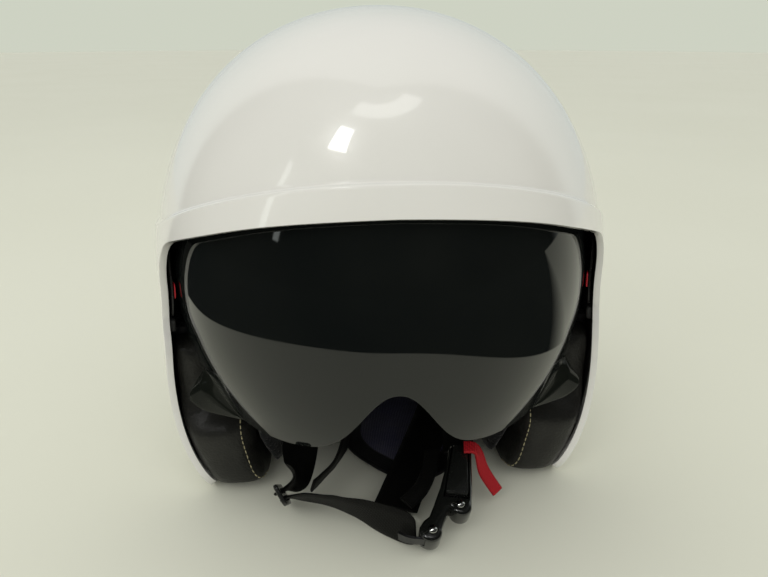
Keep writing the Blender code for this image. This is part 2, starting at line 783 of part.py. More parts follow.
# three-bar slider: a plate with two slots, seen almost edge-on from the front
SLIDER = plate_frame((-59.5, -100.0, 14.2), (0.5, -0.54, -0.68), (0.865, 0.31, 0.39))
SLOT_LEG, SLOT_CHIN = -1.9, 2.6
slider = prism("strap_slider", SLIDER, rounded(6.2, 14.2, 3.0, 3),
               [(-1.2, 0.5), (-0.7, 0.0), (0.7, 0.0), (1.2, 0.5)], PLASTIC)
for k, (u, half) in enumerate(((SLOT_LEG, 11.2), (SLOT_CHIN, 12.2))):
    carve(slider, f"cut_slider_{k}", SLIDER,
          [(u - 1.6, -half), (u + 1.6, -half), (u + 1.6, half), (u - 1.6, half)], -3.0, 3.0)

# right-hand (-X) legs meet at the slider, left-hand (+X) legs at the buckle
ribbon("harness_front_right",
       [(-106, 34, 44), (-86, 34, 38), (-55, 14, 33), (-47, -24, 30), (-50.5, -66, 24), (-51.5, -84, 20), (-53.0, -93.0, 18),
        in_frame(SLIDER, SLOT_LEG, 0, 2.0), in_frame(SLIDER, SLOT_LEG, 0, -1.6)],
       [(0, 0.1, 1), (0.1, 0.3, 1), (0.7, 0.3, 0.6), (1, 0, 0.3), (0.85, 0.3, -0.1), (0.6, 0.55, -0.4),
        (0.3, 0.7, -0.5), SLIDER[2], SLIDER[2]],
       21.0, WEB_T, WEB)
ribbon("harness_rear_right",
       [(-102, 54, 44), (-84, 52, 32), (-44, 34, 20), (-26, -16, 19), (-24.6, -58, 21), (-30.5, -76.6, 17), (-38.6, -85.6, 13.0), (-43.4, -90.4, 11.4)],
       [(0, 0.1, 1), (0.1, 0.4, 1), (0.7, 0.4, 0.6), (0.6, 0.1, -0.8), (0.2, 0.4, -0.9), (-0.05, 0.6, -0.75), (-0.05, 0.6, -0.75), (-0.05, 0.55, -0.78)],
       17.0, WEB_T, WEB)
ribbon("harness_front_left",
       [(106, 34, 44), (86, 34, 40), (57, 14, 38), (48, -24, 38), (44, -56, 33), (40.6, -79.4, 24.8)],
       [(0, 0.1, 1), (-0.1, 0.3, 1), (-0.7, 0.3, 0.5), (-0.95, 0.2, 0.1), (-0.9, 0.2, -0.4), (-0.74, 0.09, -0.66)],
       21.0, WEB_T, WEB)
ribbon("harness_rear_left",
       [(102, 54, 44), (84, 52, 32), (54, 32, 15), (36, -20, 11), (20, -62, 10), (3, -104, 7)],
       [(0, 0.1, 1), (-0.1, 0.4, 1), (-0.8, 0.5, 0.2), (-0.95, 0.25, 0.05), (-0.93, 0.35, 0.0), (-0.93, 0.35, 0.0)],
       WEB_W, WEB_T, WEB)
ribbon("strap_tail",
       [(25.5, -80, 24), (22.2, -92.0, 20), (15.8, -103.4, 16), (7.0, -111, 13.5)],
       [(0.9, 0.3, 0.3), (0.93, 0.3, 0.2), (0.93, 0.3, 0.1), (0.93, 0.3, 0.1)],
       9.0, WEB_T, WEB)

# chin strap: lies edge-on at the slider and turns to show its face
ribbon("chin_strap",
       [in_frame(SLIDER, SLOT_CHIN, 0, -1.6), in_frame(SLIDER, SLOT_CHIN, 0, 2.0), (-47.0, -100.8, 12.4), (-34.0, -103.4, 11.2), (-22.5, -109.9, 11.5), (-4.7, -122.6, 12.9), (9.6, -131.6, 13.2)],
       [-SLIDER[2], -SLIDER[2], (-0.05, -0.65, 0.75), (0.0, -0.6, 0.8), (0.05, -0.51, 0.86), (0.2, -0.25, 0.94), (0.16, -0.19, 0.97)],
       23.0, 2.0, WEB, samples=24)

# ---------------------------------------------------------------- buckle
# Local frame: U across the buckle, V along it from the lobes to the strap
# end, N out of its top face. The housing is one moulded plate whose lower end
# splits into two lobes of unequal length, with a trough for the lever.
BUCKLE = plate_frame((17.6, -141.1, 11.7), (0.987, -0.126, -0.098), (0.05, -0.34, 0.94))
BUCKLE_U, BUCKLE_V, BUCKLE_N = BUCKLE[1:]
BUCKLE_T = 11.2
LOBE_LONG = (-1.4, 8.8, 6.0)      # u, v, radius
LOBE_SHORT = (14.3, 24.8, 5.7)
TROUGH_DEPTH = 3.8
LEVER_T = 3.4
PIN_V = 33.0
PIN_W = -5.4


def at_buckle(u, v, w):
    return in_frame(BUCKLE, u, v, w)


def arc(centre_u, centre_v, r, start, stop, steps):
    return [(centre_u + r * math.cos(math.radians(start + (stop - start) * k / steps)),
             centre_v + r * math.sin(math.radians(start + (stop - start) * k / steps)))
            for k in range(steps + 1)]


def housing_outline():
    return (arc(*LOBE_LONG, 170, 372, 9)
            + [(5.9, 15.2), (6.7, 18.8), (7.9, 21.2)]
            + arc(*LOBE_SHORT, 198, 372, 8)
            + [(20.4, 34.0), (20.4, 58.5), (19.2, 61.6), (16.6, 62.4),
               (11.6, 62.4), (8.6, 61.6), (7.0, 58.0),
               (6.1, 48.4), (3.0, 34.3), (-0.2, 23.4), (-2.4, 16.6), (-5.2, 13.8)])


housing = prism("buckle_housing", BUCKLE, housing_outline(),
                [(-BUCKLE_T, 0.7), (-BUCKLE_T + 0.9, 0.0), (-0.9, 0.0), (0.0, 0.8)], PLASTIC)


# trough for the lever, open at the strap end; a deeper seat for the pin; and
# the slot that takes the ratchet tongue
carve(housing, "cut_trough", BUCKLE, [(4.6, 28.2), (18.8, 28.2), (18.8, 66.0), (9.6, 66.0)], -TROUGH_DEPTH, 3.0)
carve(housing, "cut_pin", BUCKLE, [(5.6, PIN_V - 4.3), (18.2, PIN_V - 4.3), (18.2, PIN_V + 2.2), (5.6, PIN_V + 2.2)],
      -7.4, -TROUGH_DEPTH + 0.5)
carve(housing, "cut_slot", BUCKLE, [(-10.0, 3.4), (0.0, 3.4), (0.0, 5.8), (-10.0, 5.8)], -7.7, -1.5)

pin_axis = at_buckle(11.9, PIN_V, PIN_W)
prism("buckle_lever", BUCKLE, [(5.9, 32.0), (7.6, 31.0), (16.6, 31.0), (18.3, 32.4), (18.3, 60.6), (16.8, 62.4),
                       (11.2, 62.4), (9.7, 60.6)],
      [(0.3 - LEVER_T - 0.1, 0.3), (0.2 - LEVER_T + 0.2, 0.0), (-0.4, 0.0), (0.3, 0.7)], PLASTIC, pivot=pin_axis)
turned("lever_pin", pin_axis, BUCKLE_U, [(1.3, -5.9), (1.3, 5.9)], STEEL, 12)
# bright rivets that hold the halves of the housing together, one to a lobe
for name, (u, v) in (("long", (-0.6, 8.9)), ("short", (13.6, 24.9))):
    turned(f"buckle_rivet_{name}", at_buckle(u, v, 0.3), BUCKLE_N,
           [(2.3, 0.0), (2.3, 0.35), (1.8, 0.85), (0.9, 1.15)], STEEL, 16)
# toothed tongue of the ratchet, riveted to the end of the chin strap
ribbon("ratchet_tongue",
       [(1.2, -131.2, 10.6), (5.6, -134.0, 10.4), at_buckle(-7.0, 4.6, -4.6), at_buckle(-1.0, 4.6, -4.6)],
       [(0.1, -0.32, 0.94), (0.1, -0.32, 0.94), BUCKLE_N, BUCKLE_N],
       5.4, 1.4, DARK_STEEL, samples=7)

# red pull tab, hanging over the side wall from the free end of the lever
tab_axis = at_buckle(15.6, 59.4, 1.8)
ribbon("pull_tab",
       [at_buckle(15.4, 59.4, 1.8), at_buckle(21.4, 59.6, 1.8), at_buckle(25.0, 59.0, -3.5),
        Vector((54.0, -91.0, 16.0)), Vector((61.0, -96.5, 6.0))],
       [BUCKLE_V, BUCKLE_V, BUCKLE_V + BUCKLE_U * 0.4, (0.83, 0.53, 0.1), (0.83, 0.55, 0.1)],
       8.0, 2.0, RED, pivot=tab_axis, samples=14)
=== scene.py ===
# Looks of the open-face helmet: every visible surface is made here around the
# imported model. Lengths below are millimetres unless a line says otherwise.
# The wearer's right side is -X and the front faces -Y.

import math

import bmesh
import bpy
from mathutils import Matrix, Vector, kdtree
from mathutils.bvhtree import BVHTree


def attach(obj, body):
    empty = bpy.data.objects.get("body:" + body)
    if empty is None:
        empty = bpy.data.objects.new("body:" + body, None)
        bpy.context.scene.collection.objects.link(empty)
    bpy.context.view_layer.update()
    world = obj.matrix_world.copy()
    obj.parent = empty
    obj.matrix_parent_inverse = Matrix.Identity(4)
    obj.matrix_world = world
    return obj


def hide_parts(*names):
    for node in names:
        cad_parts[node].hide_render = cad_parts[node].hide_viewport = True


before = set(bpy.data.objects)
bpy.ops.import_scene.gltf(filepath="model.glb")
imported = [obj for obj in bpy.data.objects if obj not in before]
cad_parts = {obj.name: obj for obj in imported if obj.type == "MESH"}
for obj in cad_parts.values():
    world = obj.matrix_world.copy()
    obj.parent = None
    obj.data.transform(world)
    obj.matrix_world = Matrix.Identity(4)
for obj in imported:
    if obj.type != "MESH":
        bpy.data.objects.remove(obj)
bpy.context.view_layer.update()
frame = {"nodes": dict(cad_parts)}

MM = 0.001

CENTRE = (0.0, -6.0, 126.0)      # centre of the shell's curvature
HALF_WIDTH = 128.0               # plain crown of the shell, each way from CENTRE
FRONT = 136.0
REAR = 148.0
TOP = 136.0
DOWN = 160.0
PLAN_UP = 2.08                   # roundness of the crown seen from above
PLAN_LOW = 3.0                   # roundness of the lower edge seen from above
DOWN_POWER = 3.3
SHELL_T = 3.5
BAND_STEP = 2.2                  # the brow and sides stand proud below a crease
CREASE_ANGLE = 28.2
CREASE_SIDE = 24.0               # height of the crease above CENTRE on the sides

PIVOT_Y = -2.0                   # the visor turns about X through here
PIVOT_Z = 118.0
LENS_HALF = 121.2
LENS_R = 137.5
LENS_POWER = 2.1
LENS_T = 2.0
LENS_TOP = 31.6
LENS_BOSS = 16.0
LOBE_ANGLE = 21.5                # lower edge of the lens beside the nose
LOBE_SLOPE = 0.16
NOSE_RISE = 12.5
NOSE_WIDTH = 22.0

FOAM_HALF = 113.5                # outside of the moulded foam liner
FOAM_FRONT = 124.0
FOAM_REAR = 143.0
FOAM_TOP = 124.0
CAVITY_HALF = 90.0               # inside of the moulded foam liner
CAVITY_FRONT = 100.0
CAVITY_REAR = 114.0
CAVITY_TOP = 97.0
PAD_T = 8.0

WEB_W = 25.0                     # harness webbing
WEB_T = 1.8


# ---------------------------------------------------------------- materials
# Every pattern is read from the object's own coordinates, in metres, or from
# the ribbon's own map "weave" (across and along, in units of 1 mm).


class Surface:
    def __init__(self, name, base, rough, metal=0.0, **inputs):
        self.mat = bpy.data.materials.new(name)
        self.mat.use_nodes = True
        self.mat.diffuse_color = (*base, 1.0)
        self.tree = self.mat.node_tree
        self.bsdf = self.tree.nodes["Principled BSDF"]
        self.bsdf.inputs["Base Color"].default_value = (*base, 1.0)
        self.bsdf.inputs["Roughness"].default_value = rough
        self.bsdf.inputs["Metallic"].default_value = metal
        for key, value in inputs.items():
            self.bsdf.inputs[key.replace("_", " ")].default_value = value
        self.base, self.rough = base, rough
        self.height = None

    def node(self, kind, **values):
        n = self.tree.nodes.new(kind)
        for key, value in values.items():
            if key in n.inputs:
                n.inputs[key].default_value = value
            else:
                setattr(n, key, value)
        return n

    def link(self, a, b):
        self.tree.links.new(a, b)

    def place(self, scale=1.0, kind="Object", stretch=(1, 1, 1), turn=(0, 0, 0)):
        if kind == "weave":
            src = self.node("ShaderNodeUVMap", uv_map="weave").outputs[0]
        else:
            src = self.node("ShaderNodeTexCoord").outputs[kind]
        m = self.node("ShaderNodeMapping")
        m.inputs["Scale"].default_value = tuple(scale * s for s in stretch)
        m.inputs["Rotation"].default_value = turn
        self.link(src, m.inputs["Vector"])
        return m.outputs[0]

    def noise(self, size, detail=3.0, roughness=0.5, stretch=(1, 1, 1), kind="Object"):
        """Noise whose blobs are about size millimetres across."""
        scale = 1.0 / (size * (MM if kind == "Object" else 1.0))
        n = self.node("ShaderNodeTexNoise", Scale=1.0, Detail=detail, Roughness=roughness)
        self.link(self.place(scale, kind, stretch), n.inputs["Vector"])
        return n.outputs["Fac"]

    def cells(self, size, feature="F1", stretch=(1, 1, 1), smooth=None, kind="Object"):
        scale = 1.0 / (size * (MM if kind == "Object" else 1.0))
        n = self.node("ShaderNodeTexVoronoi", Scale=1.0, feature=feature)
        if smooth is not None:
            n.inputs["Smoothness"].default_value = smooth
        self.link(self.place(scale, kind, stretch), n.inputs["Vector"])
        return n.outputs["Distance"]

    def wave(self, pitch, direction="X", kind="weave", distort=0.0, turn=(0, 0, 0), profile="SIN"):
        """Bands that repeat every pitch millimetres."""
        scale = 1.0 / (pitch * (MM if kind == "Object" else 1.0))
        n = self.node("ShaderNodeTexWave", Scale=1.0 / 20.0 * math.tau, Distortion=distort, Detail=0.0)
        n.bands_direction = direction
        n.wave_profile = profile
        self.link(self.place(scale * 20.0 / math.tau * math.tau / 20.0 * 1.0, kind, (1, 1, 1), turn), n.inputs["Vector"])
        return n.outputs["Fac"]

    def maths(self, op, a, b=None, c=None):
        n = self.node("ShaderNodeMath", operation=op)
        for slot, value in zip(n.inputs, (a, b, c)):
            if value is None:
                continue
            if isinstance(value, (int, float)):
                slot.default_value = value
            else:
                self.link(value, slot)
        return n.outputs[0]

    def spread(self, value, low, high, to_low=0.0, to_high=1.0):
        n = self.node("ShaderNodeMapRange")
        n.inputs["From Min"].default_value = low
        n.inputs["From Max"].default_value = high
        n.inputs["To Min"].default_value = to_low
        n.inputs["To Max"].default_value = to_high
        self.link(value, n.inputs["Value"])
        return n.outputs[0]

    def colours(self, value, *stops):
        """Base colour from a value between 0 and 1; stops are (place, colour)."""
        n = self.node("ShaderNodeValToRGB")
        ramp = n.color_ramp
        while len(ramp.elements) < len(stops):
            ramp.elements.new(0.5)
        for e, (place, colour) in zip(ramp.elements, stops):
            e.position = place
            e.color = (*colour, 1.0)
        self.link(value, n.inputs["Fac"])
        return n.outputs["Color"]

    def paint(self, colour_output):
        self.link(colour_output, self.bsdf.inputs["Base Color"])
        return self

    def gloss(self, value, low, high):
        """Roughness from low to high as value goes from 0 to 1."""
        self.link(self.spread(value, 0.0, 1.0, low, high), self.bsdf.inputs["Roughness"])
        return self

    def bump(self, height, depth, strength=1.0):
        """Relief: height 0 to 1 stands for depth in millimetres."""
        n = self.node("ShaderNodeBump", Strength=strength, Distance=depth * MM)
        self.link(height, n.inputs["Height"])
        if self.height is not None:
            self.link(self.height, n.inputs["Normal"])
        self.height = n.outputs[0]
        self.link(self.height, self.bsdf.inputs["Normal"])
        return self

    def edges(self, distance=0.6):
        """1 along worn convex edges, from the mesh's own curvature."""
        n = self.node("ShaderNodeNewGeometry")
        return self.spread(n.outputs["Pointiness"], 0.52, 0.60)


def gloss_paint():
    s = Surface("shell_gloss_white", (0.755, 0.745, 0.73), 0.22, Coat_Weight=1.0, Coat_Roughness=0.035, Coat_IOR=1.5)
    tone = s.noise(70.0, 2.0)
    s.paint(s.colours(tone, (0.35, (0.745, 0.735, 0.718)), (0.7, (0.768, 0.758, 0.742))))
    s.gloss(s.noise(14.0, 4.0), 0.17, 0.30)
    s.bump(s.noise(3.2, 2.0), 0.010)
    s.bump(s.spread(s.noise(0.5, 2.0), 0.62, 0.75), 0.012)
    return s.mat


def raw_shell():
    s = Surface("shell_inside_raw", (0.02, 0.02, 0.021), 0.7)
    s.paint(s.colours(s.noise(9.0, 5.0), (0.3, (0.012, 0.012, 0.013)), (0.75, (0.035, 0.035, 0.036))))
    s.bump(s.noise(1.4, 4.0), 0.12)
    return s.mat


def bead_foam():
    s = Surface("liner_bead_foam", (0.03, 0.03, 0.033), 0.85)
    s.paint(s.colours(s.cells(3.4), (0.0, (0.045, 0.045, 0.048)), (0.55, (0.025, 0.025, 0.028)), (0.8, (0.008, 0.008, 0.009))))
    s.bump(s.maths("SUBTRACT", 1.0, s.cells(3.4)), 0.5)
    return s.mat


def smoked(name="visor_smoked", rough=0.022):
    s = Surface(name, (0.0055, 0.0065, 0.0065), rough, IOR=1.50)
    s.gloss(s.spread(s.noise(11.0, 6.0, 0.6), 0.45, 0.75), rough, rough + 0.05)
    s.paint(s.colours(s.noise(55.0, 2.0), (0.3, (0.0045, 0.0055, 0.0055)), (0.8, (0.0075, 0.0085, 0.008))))
    s.bump(s.noise(40.0, 1.0), 0.05)
    return s.mat


def lens_edge_painted_reflection():
    # the pale grey base colour is painted reflection: the light line the pale table gives along the lens edge, with a
    # random tone on top
    s = Surface("visor_edge_painted_reflection", (0.16, 0.165, 0.145), 0.2, IOR=1.55)
    s.paint(s.colours(s.noise(8.0, 3.0), (0.3, (0.12, 0.125, 0.11)), (0.8, (0.22, 0.225, 0.19))))
    s.bump(s.noise(0.6, 2.0), 0.03)
    return s.mat


def leatherette(name="cheek_leatherette", base=(0.0092, 0.0090, 0.0076), rough=0.47):
    s = Surface(name, base, rough, Specular_IOR_Level=0.45)
    grain = s.cells(1.25, "SMOOTH_F1", smooth=0.35)
    fine = s.cells(0.62, "F1")
    dark = tuple(c * 0.72 for c in base)
    light = tuple(c * 1.35 for c in base)
    s.paint(s.colours(s.maths("ADD", s.maths("MULTIPLY", grain, 0.35), s.maths("MULTIPLY", s.noise(26.0, 3.0), 0.65)),
                      (0.3, dark), (0.65, light)))
    s.gloss(s.spread(s.noise(12.0, 4.0), 0.3, 0.7), rough - 0.07, rough + 0.10)
    s.bump(s.noise(9.0, 3.0), 0.22)
    s.bump(s.maths("MULTIPLY", grain, -1.0), 0.16)
    s.bump(s.maths("MULTIPLY", fine, -1.0), 0.05)
    return s.mat


def spacer_mesh(name="cheek_spacer_mesh", base=(0.0052, 0.0054, 0.0062)):
    """Knitted mesh with round holes about 1.6 mm apart."""
    s = Surface(name, base, 0.92, Sheen_Weight=0.25, Sheen_Roughness=0.5, Specular_IOR_Level=0.25)
    holes = s.spread(s.cells(1.7), 0.18, 0.5)
    yarn = s.noise(0.45, 2.0)
    s.paint(s.colours(s.maths("MULTIPLY", holes, s.spread(yarn, 0.2, 0.8, 0.6, 1.0)),
                      (0.1, tuple(c * 0.35 for c in base)), (0.8, tuple(c * 1.5 for c in base))))
    s.bump(holes, 0.35)
    s.bump(yarn, 0.08)
    return s.mat


def lining_knit(name="lining_navy_knit", base=(0.013, 0.012, 0.070)):
    s = Surface(name, base, 0.93, Sheen_Weight=0.35, Sheen_Roughness=0.45, Specular_IOR_Level=0.2)
    rib = s.wave(1.1, "X", "Object", 1.5)
    course = s.wave(0.8, "Y", "Object", 1.5)
    knit = s.maths("MULTIPLY", rib, course)
    s.paint(s.colours(s.maths("ADD", s.maths("MULTIPLY", knit, 0.5), s.maths("MULTIPLY", s.noise(16.0, 4.0), 0.5)),
                      (0.2, tuple(c * 0.55 for c in base)), (0.7, tuple(c * 1.4 for c in base))))
    s.bump(knit, 0.18)
    s.bump(s.noise(5.0, 3.0), 0.25)
    return s.mat


def webbing(name="harness_webbing", base=(0.0036, 0.0036, 0.0034), rib=1.0):
    """Woven polyester tape: warp yarns along, a rib across every 1.5 mm."""
    s = Surface(name, base, 0.62, Sheen_Weight=0.01, Sheen_Roughness=0.4, Specular_IOR_Level=0.15)
    along = s.wave(rib, "Y", "weave", 0.8)
    warp = s.wave(0.95, "X", "weave", 0.4)
    twill = s.wave(1.3, "DIAGONAL", "weave", 0.0)
    cloth = s.maths("ADD", s.maths("MULTIPLY", along, 0.45), s.maths("MULTIPLY", s.maths("MULTIPLY", warp, twill), 0.55))
    fuzz = s.noise(0.35, 2.0)
    s.paint(s.colours(s.maths("ADD", s.maths("MULTIPLY", cloth, 0.7), s.maths("MULTIPLY", fuzz, 0.3)),
                      (0.15, tuple(c * 0.5 for c in base)), (0.8, tuple(c * 1.7 for c in base))))
    s.gloss(fuzz, 0.45, 0.7)
    s.bump(cloth, 0.13)
    s.bump(fuzz, 0.05)
    return s.mat


def moulded(name, base, rough, grain=0.04, coat=0.0, size=0.9):
    s = Surface(name, base, rough, Coat_Weight=coat, Coat_Roughness=0.06)
    wear = s.edges()
    tone = s.noise(6.0, 5.0)
    s.paint(s.colours(s.maths("ADD", s.maths("MULTIPLY", tone, 0.4), s.maths("MULTIPLY", wear, 0.6)),
                      (0.1, tuple(c * 0.8 for c in base)), (0.45, tuple(c * 1.15 for c in base)),
                      (0.9, tuple(min(1.0, c * 2.2 + 0.004) for c in base))))
    s.gloss(s.spread(s.noise(4.0, 6.0, 0.6), 0.35, 0.7), max(0.03, rough - 0.05), rough + 0.10)
    s.bump(s.noise(size, 3.0), grain)
    return s.mat


def steel(name, base, rough):
    s = Surface(name, base, rough, 1.0)
    brush = s.noise(0.8, 4.0, 0.6, (1.0, 8.0, 1.0))
    s.paint(s.colours(s.noise(3.0, 5.0), (0.3, tuple(c * 0.86 for c in base)), (0.75, tuple(min(1.0, c * 1.08) for c in base))))
    s.gloss(brush, rough * 0.7, rough * 1.5)
    s.bump(brush, 0.006)
    return s.mat


def thread(name, base):
    s = Surface(name, base, 0.6, Sheen_Weight=0.2)
    ply = s.wave(0.7, "DIAGONAL", "Object", 0.5)
    s.paint(s.colours(ply, (0.0, tuple(c * 0.5 for c in base)), (0.7, base)))
    s.bump(ply, 0.08)
    return s.mat


def smoked_tab():
    """The pressed thumb tab: the lens plastic, scuffed by gloves."""
    s = Surface("visor_smoked_tab", (0.006, 0.007, 0.006), 0.10, IOR=1.45, Specular_IOR_Level=0.14)
    s.paint(s.colours(s.noise(22.0, 3.0), (0.3, (0.005, 0.006, 0.005)), (0.75, (0.010, 0.011, 0.009))))
    s.gloss(s.noise(9.0, 4.0), 0.07, 0.17)
    s.bump(s.noise(0.9, 2.0), 0.010)
    return s.mat


M_SHELL, M_RAW, M_FOAM = gloss_paint(), raw_shell(), bead_foam()
M_LENS, M_LENS_EDGE_PAINTED_REFLECTION, M_LENS_TAB = smoked(), lens_edge_painted_reflection(), smoked_tab()
M_LEATHER = leatherette()
M_ROLL = leatherette("roll_leatherette", (0.013, 0.013, 0.0125), 0.5)
M_MESH = spacer_mesh()
M_LINING = lining_knit()
M_CROWN = lining_knit("crown_lining", (0.0105, 0.010, 0.024))
M_BINDING = webbing("curtain_binding", (0.0065, 0.0068, 0.0075), 0.8)
M_WEB = webbing()
M_TAB = webbing("tab_red_tape", (0.34, 0.010, 0.016), 1.1)
M_GLOSS = moulded("buckle_gloss_black", (0.006, 0.0065, 0.006), 0.13, 0.006, 0.6, 2.5)
M_LEVER = moulded("lever_black", (0.007, 0.0075, 0.007), 0.2, 0.010, 0.4, 2.0)
M_PLASTIC = moulded("cover_satin_black", (0.009, 0.009, 0.0092), 0.3, 0.02)
M_HUB = moulded("hub_black", (0.012, 0.012, 0.012), 0.38, 0.03)
M_SLIDER = moulded("slider_black", (0.009, 0.0095, 0.009), 0.28, 0.012, 0.3)
M_RUBBER = moulded("stop_rubber", (0.013, 0.013, 0.013), 0.75, 0.05, 0.0, 0.7)
M_RED = moulded("release_red", (0.36, 0.008, 0.016), 0.35, 0.015)
M_STEEL = steel("steel_plated", (0.56, 0.56, 0.55), 0.24)
M_CHROME = steel("rivet_bright", (0.80, 0.80, 0.79), 0.10)
M_BLACK_STEEL = steel("tongue_black_steel", (0.09, 0.09, 0.095), 0.3)
M_THREAD = thread("stitch_pale_yellow", (0.42, 0.38, 0.22))
M_THREAD_DARK = thread("stitch_black", (0.018, 0.018, 0.018))
M_THREAD_RED = thread("stitch_red", (0.24, 0.008, 0.012))


def emit(name, verts, faces, mat, pivot=None, smooth=40.0):
    """One mesh object at the origin; verts are in millimetres."""
    mesh = bpy.data.meshes.new(name)
    mesh.from_pydata([tuple(Vector(v) * MM) for v in verts], [], faces)
    mesh.validate()
    mesh.update()
    mesh.shade_smooth()
    mesh.set_sharp_from_angle(angle=math.radians(smooth))
    obj = bpy.data.objects.new(name, mesh)
    bpy.context.scene.collection.objects.link(obj)
    for m in (mat if isinstance(mat, (list, tuple)) else [mat]):
        mesh.materials.append(m)
    return obj


def piece(obj, body, node=None, *more):
    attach(obj, body)
    if node:
        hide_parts(node, *more)
    return obj


def extra(obj, body):
    """A piece that adds to a CAD node; it is attached to its body and keeps its own material."""
    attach(obj, body)
    return obj


def bake(obj):
    """Applies the object's modifiers to its mesh."""
    deps = bpy.context.evaluated_depsgraph_get()
    mesh = bpy.data.meshes.new_from_object(obj.evaluated_get(deps))
    obj.modifiers.clear()
    old = obj.data
    obj.data = mesh
    bpy.data.meshes.remove(old)
    return obj


def bevel(obj, width, segments=3, angle=35.0):
    m = obj.modifiers.new("edge", "BEVEL")
    m.width = width * MM
    m.segments = segments
    m.limit_method = "ANGLE"
    m.angle_limit = math.radians(angle)
    m.use_clamp_overlap = True
    m.harden_normals = False
    return obj


def solidify(obj, thick, offset=-1.0, **more):
    m = obj.modifiers.new("wall", "SOLIDIFY")
    m.thickness = thick * MM
    m.offset = offset
    m.use_even_offset = False
    m.use_rim = True
    for key, value in more.items():
        setattr(m, key, value)
    return obj


def tree_of(obj):
    """A ray-cast tree of the object's finished surface, in metres."""
    deps = bpy.context.evaluated_depsgraph_get()
    return BVHTree.FromObject(obj, deps)

# ---------------------------------------------------------------- helpers


def clamp(v, lo=0.0, hi=1.0):
    return max(lo, min(hi, v))


def smooth(v):
    v = clamp(v)
    return v * v * (3.0 - 2.0 * v)


def lerp(a, b, t):
    return tuple(x + (y - x) * t for x, y in zip(a, b))


def chain(points, radii, spacing):
    """A polyline with rounded corners, sampled about every spacing."""
    pts = [Vector(p) for p in points]
    path = [pts[0]]
    for i in range(1, len(pts) - 1):
        a, b, c = pts[i - 1], pts[i], pts[i + 1]
        r = radii[i]
        u, v = (a - b), (c - b)
        cut = min(r, u.length * 0.49, v.length * 0.49)
        p0, p2 = b + u.normalized() * cut, b + v.normalized() * cut
        for k in range(5):
            t = k / 4.0
            path.append(p0 * (1 - t) ** 2 + b * 2 * t * (1 - t) + p2 * t * t)
    path.append(pts[-1])
    lengths = [0.0]
    for a, b in zip(path, path[1:]):
        lengths.append(lengths[-1] + (b - a).length)
    count = max(2, round(lengths[-1] / spacing))
    out, k = [], 0
    for i in range(count + 1):
        s = lengths[-1] * i / count
        while k < len(path) - 2 and lengths[k + 1] < s:
            k += 1
        span = lengths[k + 1] - lengths[k]
        t = 0.0 if span == 0 else (s - lengths[k]) / span
        out.append(path[k].lerp(path[k + 1], clamp(t)))
    return out


def radius(d, axes):
    """Distance from CENTRE to a helmet-shaped surface along the unit d."""
    half, front, rear, top, down = axes
    elevation = math.degrees(math.asin(clamp(d.z, -1.0, 1.0)))
    p = PLAN_UP + (PLAN_LOW - PLAN_UP) * smooth(-elevation / 45.0)
    ay = front if d.y < 0 else rear
    if d.z >= 0:
        return (abs(d.x / half) ** p
                + (abs(d.y / ay) ** 2 + abs(d.z / top) ** 2) ** (p / 2)) ** (-1 / p)
    u = (abs(d.x / half) ** p + abs(d.y / ay) ** p) ** (DOWN_POWER / p)
    return (u + abs(d.z / down) ** DOWN_POWER) ** (-1 / DOWN_POWER)


def crease_height(y_rel):
    slope = math.tan(math.radians(CREASE_ANGLE)) * max(-y_rel, 0.0)
    return (slope ** 4 + CREASE_SIDE ** 4) ** 0.25


def band(p_rel):
    """0 above the crease, 1 below it, fading out behind the ears."""
    below = crease_height(p_rel.y) - p_rel.z
    fade = 1.0 - smooth((p_rel.y - 30.0) / 70.0)
    return smooth((below + 1.5) / 3.0) * fade


SHELL_AXES = (HALF_WIDTH, FRONT, REAR, TOP, DOWN)


def shell_radius(d, inset=0.0):
    r = radius(d, SHELL_AXES)
    w = band(d * r)
    grow = BAND_STEP * w - inset
    return r + grow


def scaled(axes, inset):
    return tuple(a - inset for a in axes)


def on_shell(point, inset=0.0):
    """Slides a point out to the shell; low points keep their height."""
    c = Vector(CENTRE)
    rel = Vector(point) - c
    if rel.z > -70.0:
        d = rel.normalized()
        return c + d * shell_radius(d, inset)
    lo, hi = 0.3, 2.2
    for _ in range(40):
        k = (lo + hi) / 2
        q = Vector((rel.x * k, rel.y * k, rel.z))
        d = q.normalized()
        if q.length < shell_radius(d, inset):
            lo = k
        else:
            hi = k
    return c + Vector((rel.x * lo, rel.y * lo, rel.z))


def side_x(y, z, inset):
    """Half width of the shell, less inset, at a place in its side view."""
    c = Vector(CENTRE)
    lo, hi = 5.0, 150.0
    for _ in range(40):
        x = (lo + hi) / 2
        q = Vector((x, y - c.y, z - c.z))
        if q.length < shell_radius(q.normalized(), inset):
            lo = x
        else:
            hi = x
    return lo


def wall_frame(sign, y, z, inset):
    """A place on the inside of the shell, with its outward normal and two
    directions along the wall (towards the back, and up)."""
    def at(a, b):
        return Vector((sign * side_x(a, b, inset), a, b))
    p = at(y, z)
    back = (at(y + 2, z) - at(y - 2, z)).normalized()
    up = (at(y, z + 2) - at(y, z - 2)).normalized()
    out = back.cross(up).normalized()
    if out.x * sign < 0:
        out = -out
    up = (up - back * up.dot(back)).normalized()
    return p, out, back, up


def wall_plate(name, sign, y, z, inset, outline, depths, mat, pivot=False):
    """A flat piece against the shell wall; depths are (depth, shrink)."""
    p, out, back, up = wall_frame(sign, y, z, inset)
    rings = [[p - out * d + back * u * e + up * v * e for u, v in outline] for d, e in depths]
    return loft(name, rings, mat, p if pivot else None)


def mirror_loop(half):
    """A half loop from front centre to rear centre, closed by its mirror."""
    other = [Vector((-p.x, p.y, p.z)) for p in reversed(half[1:-1])]
    return half + other


POLE = Vector((0.0, 0.45, 0.89)).normalized()


